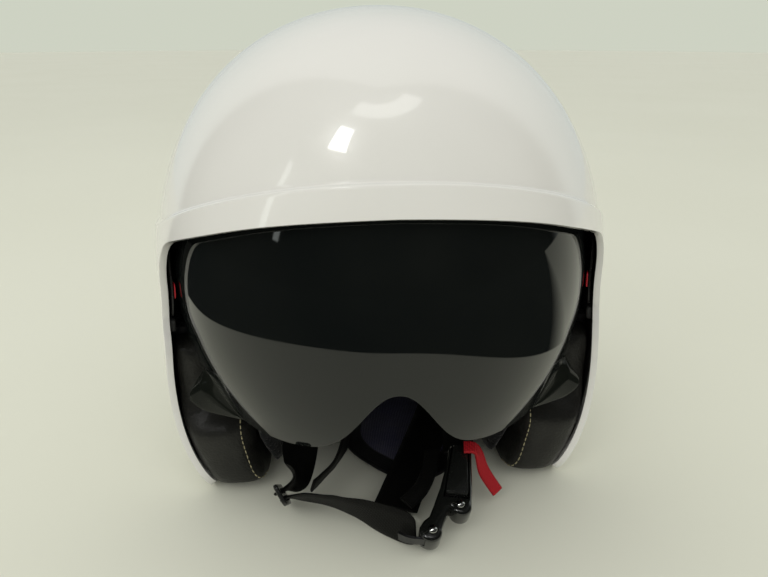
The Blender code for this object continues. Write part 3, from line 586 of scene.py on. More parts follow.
def cap(name, loop, outer, inner, rings, mat, ease=1.0):
    """A domed wall: spokes run from the pole to a boundary loop.

    outer and inner give the distance from CENTRE along a direction.
    """
    c = Vector(CENTRE)
    n = len(loop)
    dirs = [(p - c).normalized() for p in loop]
    verts, faces = [], []
    for side, reach in ((0, outer), (1, inner)):
        verts.append(c + POLE * reach(POLE, 0.0))
        for j in range(1, rings + 1):
            t = (j / rings) ** ease
            for d in dirs:
                q = POLE.slerp(d, t)
                verts.append(c + q * reach(q, t))
    half = 1 + rings * n

    def at(side, j, i):
        return side * half + 1 + (j - 1) * n + i % n

    for i in range(n):
        faces.append((0, at(0, 1, i), at(0, 1, i + 1)))
        faces.append((half, at(1, 1, i + 1), at(1, 1, i)))
        for j in range(1, rings):
            faces.append((at(0, j, i), at(0, j + 1, i), at(0, j + 1, i + 1), at(0, j, i + 1)))
            faces.append((at(1, j, i + 1), at(1, j + 1, i + 1), at(1, j + 1, i), at(1, j, i)))
        faces.append((at(0, rings, i), at(1, rings, i), at(1, rings, i + 1), at(0, rings, i + 1)))
    return emit(name, verts, faces, mat)


def slab(name, outer, inner, mat, pivot=None, smooth=40.0):
    """A closed wall between two equal grids of points."""
    n, m = len(outer), len(outer[0])
    verts = [p for row in outer for p in row] + [p for row in inner for p in row]
    k = n * m
    faces = []
    for i in range(n - 1):
        for j in range(m - 1):
            a, b, c, d = i * m + j, (i + 1) * m + j, (i + 1) * m + j + 1, i * m + j + 1
            faces.append((a, b, c, d))
            faces.append((k + d, k + c, k + b, k + a))
    for i in range(n - 1):
        a, b = i * m, (i + 1) * m
        faces.append((b, a, k + a, k + b))
        a, b = i * m + m - 1, (i + 1) * m + m - 1
        faces.append((a, b, k + b, k + a))
    for j in range(m - 1):
        a, b = j, j + 1
        faces.append((a, b, k + b, k + a))
        a, b = (n - 1) * m + j, (n - 1) * m + j + 1
        faces.append((b, a, k + a, k + b))
    return face_out(emit(name, verts, faces, mat, pivot, smooth))


def face_out(obj):
    """Turns the faces of a closed mesh outward."""
    bm = bmesh.new()
    bm.from_mesh(obj.data)
    bmesh.ops.recalc_face_normals(bm, faces=bm.faces)
    if bm.calc_volume(signed=True) < 0:
        bmesh.ops.reverse_faces(bm, faces=bm.faces)
    bm.to_mesh(obj.data)
    bm.free()
    return obj


def loft(name, rings, mat, pivot=None, smooth=40.0):
    """Closed rings joined in order, with flat ends."""
    n = len(rings[0])
    verts = [p for ring in rings for p in ring]
    faces = [tuple(range(n)), tuple((len(rings) - 1) * n + i for i in reversed(range(n)))]
    for k in range(len(rings) - 1):
        for i in range(n):
            a, b = k * n + i, k * n + (i + 1) % n
            faces.append((a, a + n, b + n, b))
    return face_out(emit(name, verts, faces, mat, pivot, smooth))


def turned(name, origin, axis, profile, mat, segments=20, pivot=None, hollow=False):
    """A turned piece: profile is (radius, distance along axis), in order."""
    axis = Vector(axis).normalized()
    side = axis.orthogonal().normalized()
    other = axis.cross(side)
    rings = []
    for r, h in profile:
        rings.append([Vector(origin) + axis * h
                      + (side * math.cos(a) + other * math.sin(a)) * r
                      for a in (math.tau * i / segments for i in range(segments))])
    if not hollow:
        return loft(name, rings, mat, pivot)
    n = segments
    verts = [p for ring in rings for p in ring]
    faces = []
    for k in range(len(rings)):
        for i in range(n):
            a, b = k * n + i, k * n + (i + 1) % n
            q = (k + 1) % len(rings)
            faces.append((a, q * n + i, q * n + (i + 1) % n, b))
    return face_out(emit(name, verts, faces, mat, pivot))


def ribbon(name, path, across, width, thick, mat, pivot=None, samples=None):
    """Flat webbing along a smooth curve; across gives its width direction."""
    pts = [Vector(p) for p in path]
    wid = [Vector(a) for a in across]
    count = samples if samples else 4 * (len(pts) - 1)

    def curve(values, s):
        k = min(int(s), len(values) - 2)
        t = s - k
        p0 = values[max(k - 1, 0)]
        p1, p2 = values[k], values[k + 1]
        p3 = values[min(k + 2, len(values) - 1)]
        return 0.5 * (2 * p1 + (p2 - p0) * t + (2 * p0 - 5 * p1 + 4 * p2 - p3) * t * t
                      + (3 * p1 - p0 - 3 * p2 + p3) * t ** 3)

    rings = []
    for i in range(count + 1):
        s = (len(pts) - 1) * i / count
        p = curve(pts, s)
        e = 0.01
        tangent = (curve(pts, min(s + e, len(pts) - 1)) - curve(pts, max(s - e, 0))).normalized()
        w = curve(wid, s)
        w = (w - tangent * w.dot(tangent)).normalized()
        nrm = tangent.cross(w)
        rings.append([p + w * (a * width / 2) + nrm * (b * thick / 2)
                      for a, b in ((-1, -1), (1, -1), (1, 1), (-1, 1))])
    return loft(name, rings, mat, pivot, smooth=60.0)


def rounded(half_u, half_v, r, steps=4):
    """Corner-rounded rectangle outline centred on the origin."""
    out = []
    for cu, cv, start in ((1, 1, 0), (-1, 1, 90), (-1, -1, 180), (1, -1, 270)):
        for k in range(steps + 1):
            a = math.radians(start + 90 * k / steps)
            out.append((cu * (half_u - r) + r * math.cos(a),
                        cv * (half_v - r) + r * math.sin(a)))
    return out


SHELL_EDGE = [
    ((0, -134, 177.6), 0), ((60, -122, 172.0), 30), ((92, -101, 161.8), 20),
    ((111.5, -73, 150.5), 12), ((117, -64, 132), 20), ((119, -62, 103), 4),
    ((117, -70, 93), 6), ((115, -71, 60), 25), ((109, -75, 26), 20),
    ((103, -79, 0), 14), ((106, -20, 0), 30), ((108, 30, 0), 30),
    ((97, 80, 2), 40), ((60, 122, 14), 40), ((0, 138, 20), 0)]


def shell_loop(spacing, inset=0.0):
    raw = chain([p for p, _ in SHELL_EDGE], [r for _, r in SHELL_EDGE], spacing)
    out = []
    for p in raw:
        q = on_shell(p, inset)
        if q.z < 0.4:
            q.z = 0.0
        out.append(q)
    out[0].x = out[-1].x = 0.0
    return mirror_loop(out)


FOAM_EDGE = [
    ((0, -122, 176), 0), ((60, -110, 170), 30), ((92, -84, 158), 20),
    ((103, -50, 143), 14), ((110, -34, 118), 14), ((110, -26, 97), 8),
    ((110, 10, 95), 20), ((108, 34, 93), 12), ((105, 60, 70), 14), ((96, 82, 58), 20),
    ((60, 118, 50), 40), ((0, 134, 48), 0)]
FOAM_AXES = (FOAM_HALF, FOAM_FRONT, FOAM_REAR, FOAM_TOP, DOWN)
CAVITY_AXES = (CAVITY_HALF, CAVITY_FRONT, CAVITY_REAR, CAVITY_TOP, DOWN - 25)


def plain_loop(edge, axes, spacing):
    c = Vector(CENTRE)
    out = []
    for p in chain([p for p, _ in edge], [r for _, r in edge], spacing):
        d = (p - c).normalized()
        out.append(c + d * radius(d, axes))
    out[0].x = out[-1].x = 0.0
    return mirror_loop(out)


CROWN_EDGE = [
    ((0, -96, 160), 0), ((50, -84, 156), 30), ((78, -50, 146), 20), ((86, -14, 118), 14),
    ((86, 20, 104), 20), ((84, 50, 92), 20), ((60, 90, 76), 30), ((0, 108, 70), 0)]
def lens_section(beta, inset=0.0):
    s, c = math.sin(abs(beta)), math.cos(beta)
    x = (LENS_HALF - inset) * s ** (2 / LENS_POWER)
    r = (LENS_R - inset) * c ** (2 / LENS_POWER)
    return math.copysign(x, beta), r


def lens_point(x, r, angle):
    a = math.radians(angle)
    return Vector((x, PIVOT_Y - r * math.cos(a), PIVOT_Z + r * math.sin(a)))


def lens_top(r):
    return LENS_TOP + 28.0 * clamp((60.0 - r) / 44.0) ** 2


TAB_START, TAB_END = 78.0, 99.0
TAB_ROOT = -25.5                 # highest point of the tab's root on the lens


def lens_bottom(x, r):
    """Angle of the lens's lower edge; behind the tabs it is the arm's edge."""
    ax = abs(x)
    if ax <= TAB_START:
        return -(LOBE_ANGLE + LOBE_SLOPE * ax) + NOSE_RISE * math.exp(-(ax / NOSE_WIDTH) ** 2)
    if ax <= TAB_END:
        t = (ax - TAB_START) / (TAB_END - TAB_START)
        low = -(LOBE_ANGLE + LOBE_SLOPE * TAB_START)
        return low + (TAB_ROOT - low) * smooth(t * 1.25) - 1.2 * smooth((t - 0.75) * 4)
    reach = 14.0 + (r - LENS_BOSS) * (25.0 - 14.0) / (70.0 - LENS_BOSS)
    arm = -math.degrees(math.asin(clamp(reach / r)))
    t = smooth((r - 66.0) / 20.0)
    return arm * (1 - t) + (TAB_ROOT - 1.2) * t


TAB_BOTTOM = Vector((100.5, -82.0, 58.0))
TAB_TIP = Vector((109.3, -81.0, 65.5))


def tab_edge(t, start, end):
    """Outer edge of the tab, from the lobe corner round the tip to the arm."""
    corner = [start, TAB_BOTTOM, TAB_TIP, end]
    path = chain(corner, [0, 5, 6, 0], 1.0)
    s = clamp(t) * (len(path) - 1)
    k = min(int(s), len(path) - 2)
    return path[k].lerp(path[k + 1], s - k)


def lens_grid(columns, rows, tab_rows, edge_strip=1.4):
    """Outer face of the lens, column by column from right arm to left arm."""
    limit = math.acos((LENS_BOSS / LENS_R) ** (LENS_POWER / 2))
    beta_a = math.asin((TAB_START / LENS_HALF) ** (LENS_POWER / 2))
    beta_b = math.asin((TAB_END / LENS_HALF) ** (LENS_POWER / 2))
    # columns are closer together at the nose and on the tabs
    beta_n = math.asin((24.0 / LENS_HALF) ** (LENS_POWER / 2))
    near, mid, tab, arm = columns
    half = ([beta_n * k / near for k in range(1, near + 1)]
            + [beta_n + (beta_a - beta_n) * k / mid for k in range(1, mid + 1)]
            + [beta_a + (beta_b - beta_a) * k / tab for k in range(1, tab + 1)]
            + [beta_b + (limit - beta_b) * k / arm for k in range(1, arm + 1)])
    grid = []
    for beta in [-b for b in reversed(half)] + [0.0] + half:
        x, r = lens_section(beta)
        top, low = lens_top(r), lens_bottom(x, r)
        ax = abs(x)
        strip = math.degrees(edge_strip / r)
        in_tab = beta_a + 1e-6 < abs(beta) < beta_b - 1e-6
        root = low + strip
        column = [lens_point(x, r, top + (root - top) * j / rows) for j in range(rows + 1)]
        if in_tab:
            t = (abs(beta) - beta_a) / (beta_b - beta_a)
            sx, sr = lens_section(beta_a)
            ex, er = lens_section(beta_b)
            a = lens_point(sx, sr, lens_bottom(sx, sr))
            b = lens_point(ex, er, lens_bottom(ex, er))
            end = tab_edge(t, a, b)
            if x < 0:
                end = Vector((-end.x, end.y, end.z))
            base = column[-1]
        else:
            end = lens_point(x, r, low)
            base = column[-1]
        for j in range(1, tab_rows + 1):
            column.append(base.lerp(end, j / tab_rows))
        grid.append(column)
    return grid


def thicken(grid, t, inward):
    """Offsets a grid of points by t, to the side that inward points to."""
    n, m = len(grid), len(grid[0])
    out = []
    for i in range(n):
        row = []
        for j in range(m):
            du = grid[min(i + 1, n - 1)][j] - grid[max(i - 1, 0)][j]
            dv = grid[i][min(j + 1, m - 1)] - grid[i][max(j - 1, 0)]
            nrm = du.cross(dv)
            if nrm.length < 1e-9:
                nrm = Vector((0, 1, 0))
            nrm.normalize()
            if nrm.dot(inward - grid[i][j]) < 0:
                nrm = -nrm
            row.append(grid[i][j] + nrm * t)
        out.append(row)
    return out


def plate_frame(origin, u, n):
    n = Vector(n).normalized()
    v = n.cross(Vector(u)).normalized()
    return Vector(origin), v.cross(n).normalized(), v, n


def in_frame(frame, u, v, w):
    return frame[0] + frame[1] * u + frame[2] * v + frame[3] * w


def inset_outline(outline, e):
    """Moves a closed outline inwards by e; it runs anticlockwise."""
    out, n = [], len(outline)
    for i in range(n):
        a, b, c = outline[i - 1], outline[i], outline[(i + 1) % n]
        n1 = Vector((a[1] - b[1], b[0] - a[0])).normalized()
        n2 = Vector((b[1] - c[1], c[0] - b[0])).normalized()
        m = (n1 + n2).normalized()
        out.append((b[0] + m.x * e, b[1] + m.y * e))
    return out


def prism(name, frame, outline, heights, mat, pivot=None):
    rings = [[in_frame(frame, u, v, w) for u, v in inset_outline(outline, e)] for w, e in heights]
    return loft(name, rings, mat, pivot)


def carve(target, name, frame, outline, w0, w1):
    cutter = prism(name, frame, outline, [(w0, 0.0), (w1, 0.0)], PLASTIC)
    cutter.hide_render = True
    cutter.display_type = "WIRE"
    cut = target.modifiers.new(name, "BOOLEAN")
    cut.operation = "DIFFERENCE"
    cut.solver = "EXACT"
    cut.object = cutter



# ---------------------------------------------------------------- tools for fine surfaces


def grid_faces(n, m, wrap=False):
    """Quads of n rows by m columns; wrap joins the last column to the first."""
    out = []
    for i in range(n - 1):
        for j in range(m if wrap else m - 1):
            k = (j + 1) % m
            out.append((i * m + j, (i + 1) * m + j, (i + 1) * m + k, i * m + k))
    return out


def orient(obj, centre):
    """Turns an open surface's faces away from a point, in millimetres."""
    c = Vector(centre) * MM
    bm = bmesh.new()
    bm.from_mesh(obj.data)
    bmesh.ops.recalc_face_normals(bm, faces=bm.faces)
    score = sum((f.calc_center_median() - c).dot(f.normal) * f.calc_area() for f in bm.faces)
    if score < 0:
        bmesh.ops.reverse_faces(bm, faces=bm.faces)
    bm.to_mesh(obj.data)
    bm.free()
    return obj


def catmull(points, count, closed=False):
    """A smooth curve through the points, with count samples."""
    pts = [Vector(p) for p in points]
    n = len(pts)
    out = []
    spans = n if closed else n - 1
    for i in range(count):
        s = spans * i / (count if closed else count - 1)
        k = min(int(s), spans - 1)
        t = s - k

        def get(q):
            return pts[q % n] if closed else pts[max(0, min(n - 1, q))]
        a, b, c, d = get(k - 1), get(k), get(k + 1), get(k + 2)
        out.append(0.5 * (2 * b + (c - a) * t + (2 * a - 5 * b + 4 * c - d) * t * t
                          + (3 * b - a - 3 * c + d) * t ** 3))
    return out


def resample(points, spacing):
    pts = [Vector(p) for p in points]
    total = [0.0]
    for a, b in zip(pts, pts[1:]):
        total.append(total[-1] + (b - a).length)
    count = max(2, round(total[-1] / spacing))
    out, k = [], 0
    for i in range(count + 1):
        s = total[-1] * i / count
        while k < len(pts) - 2 and total[k + 1] < s:
            k += 1
        span = total[k + 1] - total[k]
        out.append(pts[k].lerp(pts[k + 1], 0.0 if span == 0 else clamp((s - total[k]) / span)))
    return out


def stitches(name, path, normals, mat, length=2.5, gap=0.9, thick=0.55, sink=0.12):
    """A row of thread stitches along a path, each a small sewn-in capsule."""
    pts = [Vector(p) for p in path]
    total = [0.0]
    for a, b in zip(pts, pts[1:]):
        total.append(total[-1] + (b - a).length)

    def at(s):
        k = 0
        while k < len(pts) - 2 and total[k + 1] < s:
            k += 1
        span = total[k + 1] - total[k]
        t = 0.0 if span == 0 else clamp((s - total[k]) / span)
        return pts[k].lerp(pts[k + 1], t), normals[k].lerp(normals[k + 1], t).normalized()
    verts, faces = [], []
    count = int(total[-1] / (length + gap))
    for q in range(count):
        s0 = q * (length + gap)
        base = len(verts)
        rings = 7
        for i in range(rings):
            u = i / (rings - 1)
            p, nrm = at(s0 + u * length)
            p2, _ = at(min(total[-1], s0 + u * length + 0.2))
            p1, _ = at(max(0.0, s0 + u * length - 0.2))
            tan = (p2 - p1).normalized()
            side = nrm.cross(tan).normalized()
            lift = math.sin(math.pi * u) ** 0.5 * thick * 0.55 - sink
            r = thick * 0.5 * (0.45 + 0.55 * math.sin(math.pi * u) ** 0.4)
            for k in range(6):
                a = math.tau * k / 6
                verts.append(p + nrm * (lift + r * math.sin(a)) + side * (r * math.cos(a)))
        faces.append(tuple(base + k for k in range(6)))
        faces.append(tuple(base + (rings - 1) * 6 + k for k in reversed(range(6))))
        for i in range(rings - 1):
            for k in range(6):
                a, b = base + i * 6 + k, base + i * 6 + (k + 1) % 6
                faces.append((a, a + 6, b + 6, b))
    return face_out(emit(name, verts, faces, mat, smooth=60.0))


def drop_on(tree, points, direction, lift=0.0):
    """Slides points along a direction onto a surface; gives points, normals."""
    found, normals = [], []
    d = Vector(direction).normalized()
    for p in points:
        hit, nrm, _, _ = tree.ray_cast((Vector(p) - d * 60.0) * MM, d)
        if hit is None:
            continue
        if nrm.dot(d) > 0:
            nrm = -nrm
        found.append(hit / MM + nrm * lift)
        normals.append(nrm)
    return found, normals


def tube(name, path, r, mat, sides=10):
    """A round cord or bead along a path, with round ends."""
    pts = [Vector(p) for p in path]
    verts, faces = [], []
    n = len(pts)
    for i, p in enumerate(pts):
        tan = (pts[min(i + 1, n - 1)] - pts[max(i - 1, 0)]).normalized()
        side = tan.orthogonal().normalized() if i == 0 else (side - tan * side.dot(tan)).normalized()
        other = tan.cross(side)
        e = r * (0.5 if i in (0, n - 1) else 1.0)
        for k in range(sides):
            a = math.tau * k / sides
            verts.append(p + side * (e * math.cos(a)) + other * (e * math.sin(a)))
    faces.append(tuple(range(sides)))
    faces.append(tuple((n - 1) * sides + k for k in reversed(range(sides))))
    for i in range(n - 1):
        for k in range(sides):
            a, b = i * sides + k, i * sides + (k + 1) % sides
            faces.append((a, a + sides, b + sides, b))
    return face_out(emit(name, verts, faces, mat, smooth=60.0))


def fine_ribbon(name, path, across, width, thick, mat, samples, round_end=False, ripple=0.0, crown=0.0):
    """Woven tape along a smooth curve, with thin rounded selvedges and a map
    of millimetres across and along for its weave."""
    pts = [Vector(p) for p in path]
    wid = [Vector(a) for a in across]

    def curve(values, s):
        k = min(int(s), len(values) - 2)
        t = s - k
        p0 = values[max(k - 1, 0)]
        p1, p2 = values[k], values[k + 1]
        p3 = values[min(k + 2, len(values) - 1)]
        return 0.5 * (2 * p1 + (p2 - p0) * t + (2 * p0 - 5 * p1 + 4 * p2 - p3) * t * t
                      + (3 * p1 - p0 - 3 * p2 + p3) * t ** 3)

    half = width / 2
    h = thick / 2
    section = []
    lanes = 10
    for k in range(lanes + 1):
        section.append((-1.0 + 2.0 * k / lanes, 1.0))
    for k in range(lanes + 1):
        section.append((1.0 - 2.0 * k / lanes, -1.0))

    def profile(u, side):
        # thinner, rounded selvedge in the outer 0.9 mm, raised edge cords
        edge = (1.0 - abs(u)) * half
        round_off = math.sqrt(max(0.0, 1.0 - (1.0 - clamp(edge / 0.9)) ** 2))
        groove = 1.0 - 0.10 * math.exp(-((edge - 2.2) / 0.5) ** 2)
        return side * h * (0.12 + 0.88 * round_off) * groove

    verts, uvs, rings = [], [], samples + 1
    run, last = 0.0, None
    e = 0.01
    for i in range(rings):
        s = (len(pts) - 1) * i / samples
        p = curve(pts, s)
        tangent = (curve(pts, min(s + e, len(pts) - 1)) - curve(pts, max(s - e, 0))).normalized()
        w = curve(wid, s)
        w = (w - tangent * w.dot(tangent)).normalized()
        nrm = tangent.cross(w)
        if last is not None:
            run += (p - last).length
        last = p
        narrow = 1.0
        if round_end:
            left = (samples - i) / samples * run * 0 + (curve(pts, len(pts) - 1) - p).length
            narrow = math.sqrt(max(0.0, 1.0 - (1.0 - clamp(left / (half * 0.6))) ** 2)) * 0.35 + 0.65
        for u, side in section:
            wave_off = ripple * math.sin(run * 0.31 + u * 1.7) * abs(u) ** 3
            bow = crown * (1.0 - u * u)
            verts.append(p + w * (u * half * narrow) + nrm * (profile(u, side) + wave_off + bow))
            uvs.append((u * half, run))
    m = len(section)
    faces = [tuple(range(m)), tuple((rings - 1) * m + i for i in reversed(range(m)))]
    faces += grid_faces(rings, m, wrap=True)
    obj = emit(name, verts, faces, mat, smooth=50.0)
    layer = obj.data.uv_layers.new(name="weave")
    for poly in obj.data.polygons:
        for li in poly.loop_indices:
            layer.data[li].uv = uvs[obj.data.loops[li].vertex_index]
    return face_out(obj)


def cut(obj, *cutters):
    """Cuts closed meshes out of an object and removes them."""
    for k, c in enumerate(cutters):
        m = obj.modifiers.new(f"cut{k}", "BOOLEAN")
        m.operation = "DIFFERENCE"
        m.solver = "EXACT"
        m.object = c
    bake(obj)
    for c in cutters:
        bpy.data.objects.remove(c, do_unlink=True)
    return obj


def inflate(obj, voxel=4.5, pressure=4.0, limit=3.0, shrink=1.0, relax=6, stiff=15.0, finish=1):
    """Padding: the cover is remeshed, blown up as cloth with a cap on how far
    a point may move, and relaxed. The result is applied to the mesh."""
    scene = bpy.context.scene
    mats = list(obj.data.materials)
    m = obj.modifiers.new("remesh", "REMESH")
    m.mode = "VOXEL"
    m.voxel_size = voxel * MM
    m.use_smooth_shade = True
    bake(obj)
    bm = bmesh.new()
    bm.from_mesh(obj.data)
    for _ in range(relax):
        bmesh.ops.smooth_vert(bm, verts=bm.verts, factor=0.5, use_axis_x=True, use_axis_y=True, use_axis_z=True)
    bm.normal_update()
    for v in bm.verts:
        v.co -= v.normal * shrink * MM
    bm.to_mesh(obj.data)
    bm.free()
    start = [v.co.copy() for v in obj.data.vertices]
    c = obj.modifiers.new("cloth", "CLOTH")
    c.settings.use_pressure = True
    c.settings.uniform_pressure_force = pressure
    c.settings.effector_weights.gravity = 0.0
    c.settings.quality = 4
    c.settings.mass = 0.3
    c.settings.tension_stiffness = stiff
    c.settings.compression_stiffness = stiff
    c.settings.shear_stiffness = stiff
    c.settings.bending_stiffness = 0.6
    c.collision_settings.use_collision = False
    c.point_cache.frame_start = 1
    c.point_cache.frame_end = 20
    for f in range(1, 21):
        scene.frame_set(f)
    deps = bpy.context.evaluated_depsgraph_get()
    done = [v.co.copy() for v in obj.evaluated_get(deps).data.vertices]
    obj.modifiers.remove(c)
    scene.frame_set(1)
    for v, a, b in zip(obj.data.vertices, start, done):
        move = b - a
        if move.length > limit * MM:
            move = move.normalized() * limit * MM
        v.co = a + move
    bm = bmesh.new()
    bm.from_mesh(obj.data)
    for _ in range(2):
        bmesh.ops.smooth_vert(bm, verts=bm.verts, factor=0.5, use_axis_x=True, use_axis_y=True, use_axis_z=True)
    bm.to_mesh(obj.data)
    bm.free()
    if finish:
        s = obj.modifiers.new("fine", "SUBSURF")
        s.levels = s.render_levels = finish
        bake(obj)
    obj.data.materials.clear()
    for mt in mats:
        obj.data.materials.append(mt)
    for p in obj.data.polygons:
        p.use_smooth = True
        p.material_index = 0
    obj.data.update()
    return obj


# ---------------------------------------------------------------- outer shell
def fine_shell():
    c = Vector(CENTRE)
    # a pole far enough back that no spoke crosses the step beside the visor
    pole = Vector((0.0, 0.70, 0.714)).normalized()
    loop = shell_loop(2.6)
    straight = [(p - c).normalized() for p in loop]
    dirs = []
    for i, p in enumerate(loop):
        # the lower run of the side edge is eased so that no step shows in it
        reach = 6 if 36.0 < p.z < 78.0 else 0
        mix = Vector()
        for k in range(-reach, reach + 1):
            mix += straight[(i + k) % len(straight)]
        dirs.append(mix.normalized())
    levels = [-6.0, -3.0, -1.6, -1.1, -0.6, -0.2, 0.2, 0.6, 1.1, 1.6, 3.0, 6.0]

    def below(q):
        p = q * shell_radius(q)
        return crease_height(p.y) - p.z

    def find(d, level):
        lo, hi = 0.0, 1.0
        for _ in range(26):
            mid = (lo + hi) / 2
            if below(pole.slerp(d, mid)) < level:
                lo = mid
            else:
                hi = mid
        return (lo + hi) / 2
    above, under = 30, 26
    rows = None
    table = []
    for d in dirs:
        marks = [find(d, level) for level in levels]
        # a strip too close to the edge is pressed together, never crossed
        for k in range(len(marks)):
            marks[k] = min(marks[k], 0.985 - 0.001 * (len(marks) - k))
        ts = [marks[0] * k / above for k in range(1, above)] + marks
        ts += [marks[-1] + (1.0 - marks[-1]) * k / under for k in range(1, under + 1)]
        table.append(ts)
        rows = len(ts)
    verts = [c + pole * shell_radius(pole)]
    n = len(dirs)
    for j in range(rows):
        for d, ts in zip(dirs, table):
            q = pole.slerp(d, ts[j])
            verts.append(c + q * shell_radius(q))
    faces = [(0, 1 + i, 1 + (i + 1) % n) for i in range(n)]
    for j in range(rows - 1):
        for i in range(n):
            a, b = 1 + j * n + i, 1 + j * n + (i + 1) % n
            faces.append((a, a + n, b + n, b))
    # the lower edge lies in the resting plane
    for i in range(n):
        v = verts[1 + (rows - 1) * n + i]
        if v.z < 0.6:
            v.z = 0.0
    obj = orient(emit("shell_skin", verts, faces, [M_SHELL, M_RAW], smooth=60.0), CENTRE)
    solidify(obj, SHELL_T, material_offset=1, material_offset_rim=0)
    bevel(obj, 1.15, 3, 50.0)
    done = bake(obj)
    # the paint is wrapped a few millimetres round the side edges
    near = kdtree.KDTree(len(loop))
    for i, p in enumerate(loop):
        near.insert(p, i)
    near.balance()
    for f in done.data.polygons:
        p = f.center / MM
        if f.material_index == 1 and abs(p.x) > 85 and p.y < 0 and p.z < 150 and near.find(p)[2] < 8.8:
            f.material_index = 0
    return done


shell = piece(fine_shell(), "helmet", "outer_shell")


# ---------------------------------------------------------------- foam liner and crown lining
def fine_cap(name, edge, axes, outer, inner, spacing, rings, mat, ease=1.0):
    return cap(name, plain_loop(edge, axes, spacing), outer, inner, rings, mat, ease)


liner = fine_cap("liner_foam", FOAM_EDGE, FOAM_AXES, lambda d, t: radius(d, FOAM_AXES) - 1.2 * smooth((t - 0.985) / 0.015),
                 lambda d, t: radius(d, CAVITY_AXES) + 1.2 * smooth((t - 0.985) / 0.015), 6.0, 44, M_FOAM, 0.85)
piece(liner, "helmet", "impact_liner")


def crown_depth(d, t):
    """Thickness of the crown lining, with sewn channels between its pads."""
    along = abs(math.sin(math.atan2(d.x, max(0.05, d.z) + 0.25) * 5.0))
    ring = abs(math.sin(t * math.pi * 3.0))
    seam = min(1.0, along * 3.2) * min(1.0, ring * 3.2 + 0.15)
    edge = 1.0 - 0.55 * smooth((t - 0.82) / 0.18)
    return 2.2 + 0.6 + (PAD_T - 0.8) * edge * (0.55 + 0.45 * smooth(seam))


crown = fine_cap("crown_lining_pad", CROWN_EDGE, scaled(CAVITY_AXES, 2.2),
                 lambda d, t: radius(d, scaled(CAVITY_AXES, 2.4)),
                 lambda d, t: radius(d, scaled(CAVITY_AXES, crown_depth(d, t))), 4.0, 56, M_CROWN)
piece(crown, "helmet", "crown_pad")

# ---------------------------------------------------------------- visor


def cad_bottom(x, r, shape=lens_bottom):
    return shape(x, r)


def lens_bottom(x, r):
    """The lens's lower edge with the nose arch rounded at its crown."""
    if abs(x) > TAB_START:
        return cad_bottom(x, r)
    ax = math.sqrt(x * x + 64.0) - 8.0 * math.exp(-(x / 25.0) ** 2)
    return -(LOBE_ANGLE + LOBE_SLOPE * ax) + NOSE_RISE * math.exp(-(abs(x) / (NOSE_WIDTH * 1.06)) ** 2.4)


def fine_lens():
    grid = lens_grid((26, 44, 34, 30), 44, 12, 1.2)
    rows, cols = len(grid), len(grid[0])
    beta_a = math.asin((TAB_START / LENS_HALF) ** (LENS_POWER / 2))
    beta_b = math.asin((TAB_END / LENS_HALF) ** (LENS_POWER / 2))
    # the thumb tab is pressed with a fold line from its top to the lobe
    for i, column in enumerate(grid):
        ax = abs(column[cols - 13].x)
        if not TAB_START < ax < TAB_END:
            continue
        beta = math.asin((ax / LENS_HALF) ** (LENS_POWER / 2))
        t = clamp((beta - beta_a) / (beta_b - beta_a))
        sx = math.copysign(1.0, column[0].x)
        out = Vector((sx * 0.35, -0.92, 0.15)).normalized()
        tall = 1.3 * math.sin(math.pi * clamp(t)) ** 0.8
        for j in range(12):
            s = (j + 1) / 12
            fold = s / 0.42 if s < 0.42 else (1.0 - s) / 0.58
            dip = -0.9 * math.sin(math.pi * clamp(s / 0.42)) if s < 0.42 else 0.0
            column[cols - 12 + j] = column[cols - 12 + j] + out * (tall * (fold + 0.5 * dip))
    verts = [p for column in grid for p in column]
    obj = orient(emit("visor_shield", verts, grid_faces(rows, cols), [M_LENS, M_LENS_EDGE_PAINTED_REFLECTION, M_LENS_TAB, M_LENS_EDGE_PAINTED_REFLECTION],
                      smooth=60.0), (0, 0, 118))
    pressed = [TAB_START < abs(column[cols - 13].x) < TAB_END for column in grid]
    for f in obj.data.polygons:
        if min(v % cols for v in f.vertices) >= cols - 13 and any(pressed[v // cols] for v in f.vertices):
            f.material_index = 2
    # the rim and bevel faces take the edge material, whose pale colour is painted reflection
    solidify(obj, LENS_T, material_offset=0, material_offset_rim=1)
    bevel(obj, 0.5, 3, 50.0)
    obj.modifiers[-1].material = 1
    return bake(obj)


lens = piece(fine_lens(), "visor", "visor_lens")

# ---------------------------------------------------------------- side covers
for sign, side in ((-1, "right"), (1, "left")):
    outer, inner = [], []
    for i in range(40):
        u = i / 39
        z = 104.0 + u * 38.0
        front = -59.6 + 1.5 * abs(2 * u - 1) ** 4 + 0.5 * (1 - smooth(u / 0.12)) * 0
        row_o, row_i = [], []
        for j in range(24):
            y = front + (-18.0 - front) * j / 23
            lip = 0.25 * math.exp(-((y - front) / 2.0) ** 2)
            row_o.append(Vector((sign * side_x(y, z, SHELL_T + 2.0 - lip), y, z)))
            row_i.append(Vector((sign * side_x(y, z, SHELL_T + 3.1 + 0.1 * lip), y, z)))
        outer.append(row_o)
        inner.append(row_i)
    cover = slab(f"cover_{side}", outer, inner, M_PLASTIC)
    bevel(cover, 0.35, 2, 50.0)
    piece(bake(cover), "helmet", f"side_cover_{side}")

# ---------------------------------------------------------------- cheek pads


def squeeze(z, z0, z1, edge):
    a = clamp((z - z0) / edge)
    b = clamp((z1 - z) / edge)
    return math.sqrt(1 - (1 - a) ** 2) * math.sqrt(1 - (1 - b) ** 2)


